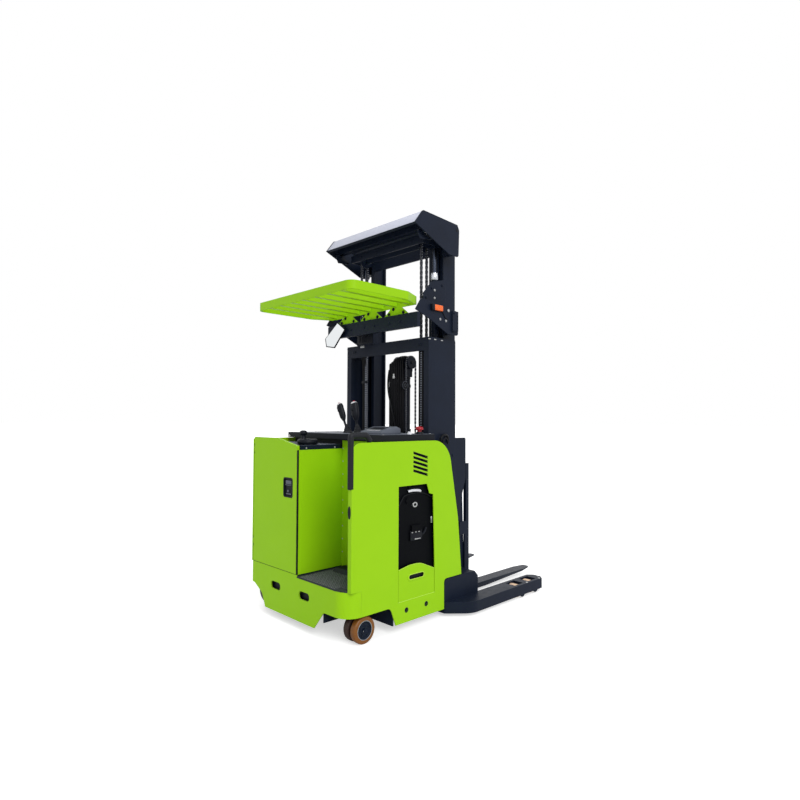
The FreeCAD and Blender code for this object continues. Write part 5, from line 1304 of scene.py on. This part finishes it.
@dataclass
class LeafChain:
    """One leaf chain that rises behind a pulley, passes over it and hangs in front.

    Args:
        turn: Radius of its pitch line on the pulley.
        width: Width of the chain.
        rear_low: Height of its rear end.
        front_low: Height of its front end.
        pitch: Distance between its pins.
        plate_high: Height of a plate.
        plate_thick: Thickness of a plate.
        pin_round: Radius of a pin.
    """

    turn: float
    width: float
    rear_low: float
    front_low: float
    pitch: float = 19.05
    plate_high: float = 12.0
    plate_thick: float = 2.4
    pin_round: float = 3.4

    def link(self, wide: bool) -> bpy.types.Mesh:
        """Returns one link that starts at the origin and runs along Z.

        Args:
            wide: Whether its plates are the outer ones.

        Returns:
            The link's mesh.
        """
        stock, width, thick = Stock(), self.width, self.plate_thick
        half, tip = self.plate_high / 2, self.plate_high / 3.2
        outline = [(-half, 0), (-tip, -half), (tip, -half), (half, 0), (half, self.pitch),
                   (tip, self.pitch + half), (-tip, self.pitch + half), (-half, self.pitch)]
        rows = (-width / 2, -thick, width / 2 - thick) if wide else (-width / 4 - thick, width / 4)
        for low in rows:
            breadth = 2 * thick if low == -thick else thick
            stock.plate([(x, low, z) for x, z in outline], (0, breadth, 0))
        bmesh.ops.recalc_face_normals(stock.mesh, faces=stock.mesh.faces)
        mesh = bpy.data.meshes.new("chain_link")
        stock.mesh.to_mesh(mesh)
        stock.mesh.free()
        return mesh

    def run(self, stock: Stock, pins: Stock, centre: Vector) -> None:
        """Adds the chain link by link.

        Args:
            stock: Mesh that gets the links.
            pins: Mesh that gets their pins.
            centre: Middle of the pulley.
        """
        links = [self.link(True), self.link(False)]
        total = 2 * centre.z - self.rear_low - self.front_low + math.pi * self.turn
        reach = Vector((0, self.width / 2 + 0.8, 0))
        for number in range(int(total / self.pitch)):
            start = self.spot(number * self.pitch, centre)
            way = self.spot((number + 1) * self.pitch, centre) - start
            pose = Matrix.Translation(start) @ Matrix.Rotation(math.atan2(way.x, way.z), 4, "Y")
            mesh = links[number % 2]
            mesh.transform(pose)
            stock.mesh.from_mesh(mesh)
            mesh.transform(pose.inverted())
            pins.rod(start - reach, start + reach, self.pin_round, sides=8)
        for mesh in links:
            bpy.data.meshes.remove(mesh)

    def spot(self, reach: float, centre: Vector) -> Vector:
        """Returns a point of the chain.

        Args:
            reach: Distance along the chain from its rear end.
            centre: Middle of the pulley.

        Returns:
            The point on its pitch line.
        """
        turn, beyond = self.turn, reach - (centre.z - self.rear_low)
        if beyond < 0:
            return Vector((centre.x - turn, centre.y, self.rear_low + reach))
        if beyond < math.pi * turn:
            angle = math.pi - beyond / turn
            return centre + Vector((turn * math.cos(angle), 0, turn * math.sin(angle)))
        return Vector((centre.x + turn, centre.y, centre.z - (beyond - math.pi * turn)))


@dataclass
class Mast(Assembly):
    """Three-stage mast: chains, pulleys, cylinders' glands and rods, hoses and fittings."""

    lift_pulley: tuple = (957.0, 2816.0)
    lift_y: float = 355.0
    free_pulley: tuple = (1100.0, 1918.0)
    side_cylinder: tuple = (1025.0, 404.0)
    rod_foot: float = 296.0
    hose_round: float = 7.0
    hose_x: float = 904.0
    # Place across the truck and distance behind the cylinder of each hose.
    hose_table: tuple = ((-46, 66), (-24, 70), (-4, 74), (16, 78), (34, 80), (51, 82),
                                  (68, 84), (85, 86))
    left_hoses: tuple = (268, 285, 302)
    # Place across the truck and radius of each hose behind the right rail, and of each coil.
    right_hoses: tuple = ((-363, 8.5), (-381, 6.0), (-396, 8.5))
    coils: tuple = ((-381, 7.4), (268, 8.6))
    coil_turns: int = 46
    coil_top: float = 1960.0
    coil_pitch: float = 18.0
    clamp_z: tuple = (620, 1180, 1760)
    band_z: tuple = (420, 1060, 1725)
    roller_back: float = 82.0
    anchor_x: float = 927.0
    cheek_y: float = -437.0
    conduit: tuple = (872.0, 2883.0)

    def lift_chains(self) -> None:
        """Leaf chains of the main lift, one inside each rail."""
        (x, z), anchors, chain = self.lift_pulley, Stock(), LeafChain(30.0, 22, 2046, 134)
        for side, name in ((-1, "lift_chain_right"), (1, "lift_chain_left")):
            stock, pins, y = Stock(), Stock(), side * self.lift_y
            chain.run(stock, pins, Vector((x, y, z)))
            self.piece(name + "_links", stock, CHAIN_STEEL, "mast_middle", (name,))
            self.piece(name + "_pins", pins, PIN_STEEL, "mast_middle")
            anchors.rod((self.anchor_x, y, 1990), (self.anchor_x, y, 2040), 6, sides=16)
            anchors.bolt((self.anchor_x, y, 2010), (0, 0, -1), 10, 10)
        self.piece("chain_anchor_bolts", anchors, ZINC, "mast_middle")

    def free_chains(self) -> None:
        """Leaf chains of the free lift and the flanges of their sheaves."""
        (x, z), stock, pins, flanges = self.free_pulley, Stock(), Stock(), Stock()
        chain = LeafChain(55.5, 16, 138, 1142, 15.875, 6.6, 2.0, 2.4)
        for side in (-1, 1):
            chain.run(stock, pins, Vector((x, side * 73, z)))
            for y in (61.5, 84.5):
                flanges.washer(14, 51, 2.8, (x, side * y, z), sides=44)
            flanges.rod((x, side * 86, z), (x, side * 92, z), 12, round_off=1.5)
        self.piece("free_chain_links", stock, CHAIN_STEEL, "crosshead", ("free_lift_chains",))
        self.pieces(("free_chain_pins", pins, PIN_STEEL), ("sheave_flanges", flanges, CASTING),
                    body="crosshead")

    def glands(self) -> None:
        """Gland nut on each cylinder and the chromed rods above the side ones."""
        (x, y), nuts, rods, foot = self.side_cylinder, Stock(), Stock(), self.rod_foot
        tube, length = cad("lift_cylinder_right"), cad("mast_middle").z1 - 84 - foot
        profile = [(16.2, -22), (26, -22), (27.5, -18), (27.5, 16), (26, 20), (26, 30),
                   (24, 34), (18, 37), (16.2, 37)]
        for across in (-y, y):
            nuts.turned(profile, (x, across, tube.z1), closed=True)
            rods.turned([(0, 0), (15.35, 0), (15.35, length), (0, length)], (x, across, foot))
        seal = Stock().turned([(34.2, -6), (49, -6), (50, -2), (50, 4), (44, 7), (34.2, 7)],
                              (1100, 0, cad("centre_cylinder").z1 - 8), "Z", 40, closed=True)
        self.piece("side_gland_nuts", nuts, CHROME)
        self.piece("side_rod_chrome", rods, ROD_CHROME, "mast_middle")
        self.piece("centre_gland", seal, CASTING, "mast_inner")

    def crosshead_hoses(self) -> None:
        """Hoses that run up behind the centre cylinder and over the crosshead."""
        x, radius = self.free_pulley[0], self.hose_round + 1.5
        hoses, risers, saddles = Stock(), Stock(), Stock()
        for y, back in self.hose_table:
            high, foot = 1962 - 0.012 * max(0.0, y + 20) ** 1.8, x - back
            risers.tube([(foot, y, 140), (foot, y, 1000), (foot, y, 1872)], radius, 2, 3)
            hoses.tube([
                (foot, y, 1872.4), (foot, y, 1900), (foot + 2, y, high),
                (x - 24, y * 0.8, high + 8), (x + 50, y * 0.5, high), (x + 64, y * 0.5, 1900),
                (x + 60, y * 0.5, 1852),
            ], radius, sides=3)
        risers.tube([(x - 92, 12, 1380), (x - 104, 28, 1480), (x - 104, 66, 1600),
                    (x - 104, 92, 1700), (x - 100, 94, 1800), (x - 92, 88, 1860)], 8, sides=3)
        nuts = Stock().rod((x - 95, 31, 1786), (x - 95, 31, 1806), 10, sides=6, round_off=0.8)
        nuts.rod((x - 95, 31, 1806), (x - 95, 31, 1824), 8.4, sides=20)
        for low in (x - 40, x + 34):
            saddles.block((low, -50, 1945.6), (low + 6, 50, 1952), 1.5)
        self.piece("crosshead_hoses", hoses, HOSE_RUBBER, "crosshead")
        self.pieces(("cylinder_hoses", risers, HOSE_RUBBER), ("cylinder_couplings", nuts, ZINC),
                    body="mast_inner")
        self.piece("hose_saddles", saddles, BLACK_STEEL, "crosshead")

    def cylinder_bands(self) -> None:
        """Clamp bands round the centre cylinder and the hose roller that one of them bears."""
        x, bands, rings = self.free_pulley[0], Stock(), Stock()
        back, high = x - self.roller_back, self.band_z[-1]
        for z in self.band_z:
            bands.washer(48.2, 53, 22, (x, 0, z), "Z", 40)
            bands.block((x + 50, -8, z - 9), (x + 66, 8, z + 9), 2)
        bands.block((back - 10, -61, high - 12), (x - 4, -57.6, high + 12), 1.2)
        bands.block((x - 10, -61, high - 12), (x + 10, -48, high + 12), 1.2)
        roller = Stock().turned(both(9, (6, 0), (34, 0), (34, 3), (27, 6)), (back, -81, high),
                                "Y", 36, closed=True)
        roller.rod((back, -92, high), (back, -58, high), 6, sides=20, round_off=0.8)
        for inner in (10, 29):
            rings.washer(inner, inner + 4, 2, (back, -90.4, high))
        self.pieces(("cylinder_clamp_bands", bands, BLACK_STEEL),
                    ("hose_roller_rings", rings, GREY_ABS), ("hose_roller", roller, BLACK_ABS),
                    body="mast_inner")

    def rail_hoses(self) -> None:
        """Hoses clamped behind both rails, with their coiled guards, and the console loops."""
        hoses, clamps, ends, coils, x = Stock(), Stock(), Stock(), Stock(), self.hose_x
        for y in self.left_hoses:
            hoses.tube([
                (882, y, 2074), (882, y, 2050), (895, y, 1940), (x, y, 1900), (x, y, 1700),
                (x, y, 500), (x, y, 320), (x + 8, y, 270), (x + 30, y - 6, 262),
            ], self.hose_round, sides=3)
            ends.rod((882, y, 2074), (882, y, 2052), 9.5, sides=6, round_off=0.8)
        for y, radius in self.right_hoses:
            hoses.tube([(x, y, 2064), (x, y, 1900), (x, y, 300)], radius, 2, 3)
        for z in self.clamp_z:
            clamps.block((x - 10, 256, z - 12), (x + 10, 314, z + 12), 3)
            clamps.bolt((x - 10, 276, z), REAR, 5, 4)
        for turn in range(self.coil_turns):
            z, half = self.coil_top - self.coil_pitch * turn, self.coil_pitch / 4
            for y, radius in self.coils:
                coils.rod((x, y, z - half), (x, y, z + half), radius, sides=12)
        loops = Stock().tube([(992, -500, 1230), (986, -505, 1290), (1004, -508, 1326),
                              (1045, -506, 1332), (1080, -498, 1316), (1090, -492, 1270)],
                             9, sides=4)
        loops.tube([(1002, -514, 1240), (1004, -516, 1284), (1024, -516, 1306), (1052, -514, 1300),
                    (1068, -506, 1262)], 7, sides=4)
        self.pieces(("hose_guard_coils", coils, SPRING_STEEL), ("rail_hoses", hoses, HOSE_RUBBER),
                    ("rail_hose_clamps", clamps, BLACK_ABS),
                    ("console_hose_loops", loops, HOSE_RUBBER), ("rail_hose_ends", ends, ZINC))

    def plate_bolts(self) -> None:
        """Bolts on the mast's cheek plates, ears and saddles, and short pale dashes on the outer
        cheeks' top edges that are painted highlight.
        """
        y, cheek, bolts_and_highlights, dark = cad("mast_outer").y0, self.cheek_y, Stock(), Stock()
        # Pale dashes along the cheek tops: painted highlight.
        for x in (884, 947, 1023):
            bolts_and_highlights.block((x - 12, y - 2, 2052), (x + 12, y + 2, 2060), 0.6, 1)
        for z in (2449, 2388):
            bolts_and_highlights.bolt((990, cheek, z), RIGHT, 7, 6)
        for *seat, radius, height in (
                (920, y, 420, 9, 7), (920, y, 900, 9, 7), (1155, y, 1168, 8, 6),
                (1140, -541, 2200, 8, 5), (1140, -541, 2250, 8, 5), (1098, -546, 2270, 8, 5),
                (1098, -546, 2130, 8, 5), (895, cheek, 2300, 9, 7), (895, cheek, 2380, 9, 7),
                (960, cheek, 2460, 9, 7), (1080, cheek, 2500, 9, 7)):
            dark.bolt(seat, RIGHT, radius, height)
        self.pieces(("mast_bolts_and_highlight_dashes", bolts_and_highlights, ZINC), ("mast_dark_bolts", dark, BLACK_STEEL),
                    mirror=True)

    def ties(self) -> None:
        """Bolts on the mast's ties and the hose conduit above the outer one."""
        bolts, (x, z) = Stock(), self.conduit
        for seat in ([(876, y, 2022) for y in (-400, -380, 380, 400)]
                     + [(868, y, 2830) for y in (-300, -100, 100, 300)]):
            bolts.bolt(seat, REAR, 8, 6)
        conduit = Stock().rod((x, -394, z), (x, 394, z), 21.5, sides=24, round_off=3)
        for y in (-388, -200, 0, 200, 388):
            conduit.rod((x, y - 9, z), (x, y + 9, z), 23, sides=24, round_off=1)
            conduit.block((x - 6, y - 9, z - 24), (x + 6, y + 9, z - 13), 1)
        self.pieces(("tie_bolts", bolts, BLACK_STEEL), ("hose_conduit", conduit, BLACK_STEEL))

    def valve_block(self) -> None:
        """Ribbed valve cover beside the mast's cross tie, and two unions."""
        x, unions = cad("mast_outer").x0, Stock()
        cover = Stock().block((x - 3, 134, 2078), (x + 2, 328, 2222), 3)
        for y in range(150, 330, 36):
            cover.block((x - 6, y, 2092), (x - 1, y + 6, 2208), 1.5, 1)
        for y in (150, 190):
            unions.rod((x + 20, y, 2228), (x + 20, y, 2246), 11, sides=6, round_off=1)
            unions.rod((x + 20, y, 2244), (x + 20, y, 2262), 7, sides=20)
        self.pieces(("valve_cover", cover, BLACK_ABS), ("valve_unions", unions, ZINC))

    def rail_edges(self) -> None:
        """Rounded edges of the outer rails' flanges."""
        outer, stock = cad("mast_outer"), Stock()
        for y in (-428, -400):
            stock.tube([(1100.8, y, 272), (1100.8, y, outer.z1 - 10)], 1.6, order=2)
        y = outer.y0 + 1.5
        for x in (outer.x0 + 17, 1179):
            stock.tube([(x, y, 290), (x, y, 2066)], 2.0, order=2)
        self.piece("rail_edges", stock.mirrored(), BLACK_STEEL)

    STEPS = (lift_chains, free_chains, glands, crosshead_hoses, cylinder_bands, rail_hoses,
             plate_bolts, ties, valve_block, rail_edges)


@dataclass
class ReachUnit(Assembly):
    """Pantograph, reach carriage and fork frame: pivot pins, manifold, caps and fork edges."""

    pivot: tuple = (1283.0, 1040.0)
    lock_x: float = 1383.0

    def pivots(self) -> None:
        """Keeper plates and nuts on the pivot pins."""
        (x, z), keepers, nuts = self.pivot, Stock(), Stock()
        for side in (-1, 1):
            y = side * (cad("lift_carriage").y1 - 0.3)
            inner = y - side * 3
            keepers.rod((x, inner, z), (x, y, z), 30, round_off=0.8)
            keepers.block((x - 19, min(inner, y), z + 18), (x + 19, max(inner, y), z + 52), 1)
            nuts.rod((x, y - side * 4, z), (x, y - side * 0.1, z), 17, sides=6)
        self.pieces(("pivot_keepers", keepers, BLACK_STEEL), ("pivot_nuts", nuts, ZINC),
                    body="lift_carriage")

    def carriage_detail(self) -> None:
        """Manifold and unions on the lift carriage, caps on the reach carriage's posts."""
        box, unions, caps = cad("reach_carriage"), Stock(), Stock()
        manifold = Stock().block((1262, -120, 1196), (1305, 60, 1201), 0.4, 1)
        manifold.block((1254, -90, 1202), (1300, 30, 1248), 4)
        for y in (-70, -46, -22, 2):
            unions.rod((1277, y, 1247), (1277, y, 1262), 8, sides=6, round_off=0.8)
        x, z = box.x1, box.z1
        for y in (13 - box.y1, box.y1 - 13):
            caps.block((x - 34, y - 12.5, z - 0.5), (x - 1, y + 12.5, z), 0.2, 1)
        self.pieces(("carriage_manifold", manifold, CASTING), ("manifold_unions", unions, ZINC),
                    body="lift_carriage")
        self.piece("post_caps", caps, BLACK_ABS, "reach_carriage")

    def fork_detail(self) -> None:
        """Locking pins and rubbed edges of the forks."""
        fork, x, pins, rubs = cad("fork_right"), self.lock_x, Stock(), Stock()
        _, middle, _ = fork.centre()
        for y in (-middle, middle):
            pins.rod((x, y, fork.z1 - 0.5), (x, y, fork.z1 + 16), 9, round_off=2)
            pins.rod((x, y, fork.z1 + 12), (x, y, fork.z1 + 24), 14, round_off=3)
        for y in (fork.y0 + 2, fork.y1 - 2):
            z = fork.z0 + 39.4
            rubs.tube([(fork.x0 + 60, y, z), (fork.x1 - 150, y, z)], 1.6, order=2)
        self.pieces(("fork_lock_pins", pins, ZINC), ("fork_edges", rubs.mirrored(), FORGED_STEEL),
                    body="fork_frame")

    STEPS = (pivots, carriage_detail, fork_detail)


@dataclass
class Guards(Assembly):
    """Overhead guard, top guard, their brackets, warning lamp and mirror."""

    slope: tuple = ((678.0, 2889.0), (754.0, 2987.0))
    knee_y: float = -492.0
    wing_y: float = -533.0
    tab_pitch: float = 290.0
    slat_pitch: float = 147.0
    lens_ribs: int = 7
    mirror_y: float = 396.0

    def slope_sheet(self) -> None:
        """Dull galvanised sheet on the sloping rear face of the top guard, and its fold."""
        y = cad("top_guard").y1 - 9
        low, high = (Vector((x, 0, z)) for x, z in self.slope)
        run = (high - low).normalized()
        out = Vector((-run.z, 0, run.x))
        sheet = Stock().slab(low + run * 3 + out * 0.4, high - run * 2 + out * 0.4, -y, y,
                             out * 1.6, 0.5)
        fold = Stock().block((756, -y, 2986.2), (768, y, 2988.4), 0.5, 1)
        self.pieces(("guard_slope_sheet", sheet, GALVANISED),
                    ("guard_sheet_fold", fold, GALVANISED))

    def knees(self) -> None:
        """Bolted knee plates under the top guard's two arms."""
        outline = ((742, 2846), (768, 2872), (893, 2826), (884, 2806), (770, 2796))
        stock = Stock().plate([(x, self.knee_y, z) for x, z in outline], (0, 6, 0), 1.5)
        for x, z in ((785, 2846), (872, 2812)):
            stock.rod((x, self.knee_y - 38, z), (x, self.knee_y + 6, z), 8, round_off=0.6)
        self.piece("guard_knees", stock.mirrored(), BLACK_STEEL)

    def tab_bolts(self) -> None:
        """Bolts on the guard's tabs, beam and wings, and plugs of its end caps."""
        tabs, beam, wing = Stock(), Stock(), Stock()
        for y in (-self.tab_pitch, 0, self.tab_pitch):
            for offset, z in ((-78, 2252), (30, 2286), (78, 2252)):
                tabs.bolt((719, y + offset, z), REAR, 9.5, 8)
            for offset in (-60, 60):
                beam.bolt((700, y + offset, 2180), REAR, 9, 6)
        for x, z in ((949, 2206), (1015, 2201)):
            wing.bolt((x, self.wing_y, z), RIGHT, 7, 5)
        wing.rod((1040, self.wing_y, 2283), (1040, self.wing_y - 6, 2283), 12, round_off=2)
        plugs = Stock().rod((1145, -532.6, 2931), (1145, -534, 2931), 13).mirrored()
        self.pieces(("tab_bolts", tabs, BLACK_ABS), ("beam_bolts", beam, BLACK_STEEL),
                    ("wing_bolts", wing, ZINC), ("cap_plugs", plugs, BLACK_ABS))

    def lamp(self) -> None:
        """Warning lamp: black base, ribbed orange lens and its lead."""
        box = cad("warning_lamp")
        x, y, low, high = box.x0, box.y0, box.z0, box.z1
        base = Stock().block((x, y + 2, low), (x + 30, box.y1, high), 4)
        base.block((x + 26, box.y1 - 8, low + 2), (box.x1 - 2, box.y1, high - 2), 2)
        lens = Stock().block((x + 28, y, low + 2), (box.x1, box.y1 - 6, high - 2), 6, 3)
        for rib in (x + 38 + 11 * number for number in range(self.lens_ribs)):
            lens.rod((rib, y + 1.8, low + 8), (rib, y + 1.8, high - 8), 2.2, sides=10)
        end, side = box.x1, box.y1 - 3
        lead = Stock().tube([(end - 4, side - 1, low + 8), (end + 14, side - 1, low + 2),
                             (end + 34, side, 2240), (end + 44, side, 2222),
                             (end + 70, side, 2214)], 3.2)
        self.piece("lamp_base", base, BLACK_ABS)
        self.piece("lamp_lens", lens, ORANGE_LENS, stands_for=("warning_lamp",))
        self.piece("lamp_lead", lead, HOSE_RUBBER)

    def mirror_clamp(self) -> None:
        """Clamp that holds the mirror to the beam."""
        x, y = cad("mirror_frame").x1, self.mirror_y
        stock = Stock().rod((x - 16, y, 2149), (x - 4, y, 2149), 24, round_off=3)
        self.piece("mirror_clamp", stock.bolt((x - 12, y, 2164), UP, 7, 6), BLACK_ABS)

    def roof_trim(self) -> None:
        """Folded foot of each slat and rounded edges of the overhead guard's rim."""
        roof, lips, beads = cad("overhead_guard"), Stock(), Stock()
        for y in (self.slat_pitch * number - 3 for number in range(-3, 4)):
            lips.block((roof.x0 + 4, y + 0.5, 2302.2), (714, y + 34, 2305), 0.8, 1)
        half = [(roof.x1 - 3, -497), (562, roof.y0 + 2.4), (200, roof.y0 + 2.4),
                (roof.x0 + 62, roof.y0 + 2.4), (roof.x0 + 20, roof.y0 + 20),
                (roof.x0 + 2.4, roof.y0 + 62)]
        line = half + [(roof.x0 + 2.4, 0)] + [(x, -y) for x, y in reversed(half)]
        for z in (roof.z1 - 1.5, 2291.5):
            beads.tube([(x, y, z) for x, y in line], 2.3)
        self.pieces(("roof_slat_lips", lips, GREEN_PAINT), ("roof_edge_beads", beads, GREEN_PAINT))

    STEPS = (slope_sheet, knees, tab_bolts, lamp, mirror_clamp, roof_trim)


ASSEMBLIES = (
    Bodywork, RearDoor, Compartment, BatteryBox, Console, SteeringDisc, Wheels, StraddleLegs,
    Mast, ReachUnit, Guards,
)




def dress_frame(frame: dict) -> None:
    """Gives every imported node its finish.

    Args:
        frame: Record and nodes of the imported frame.
    """
    finishes = {finish.slot: finish for finish in NODE_FINISHES}
    slots = {row["node"]: row["material_slot"] for row in frame["record"]["subparts"]}
    for name, node in frame["nodes"].items():
        material = finish_material(finishes[slots[name]])
        if not node.material_slots:
            node.data.materials.append(material)
        for place in node.material_slots:
            place.material = material
        LOG.info("%s wears %s", name, material.name)


def main() -> None:
    """Builds the studio and the truck's pieces in order."""
    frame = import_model()
    Studio().build()
    dress_frame(frame)
    for assembly in ASSEMBLIES:
        assembly().build()
    bpy.context.view_layer.update()


if __name__ == "__main__":
    logging.basicConfig(level=logging.INFO, format="%(message)s")
    main()
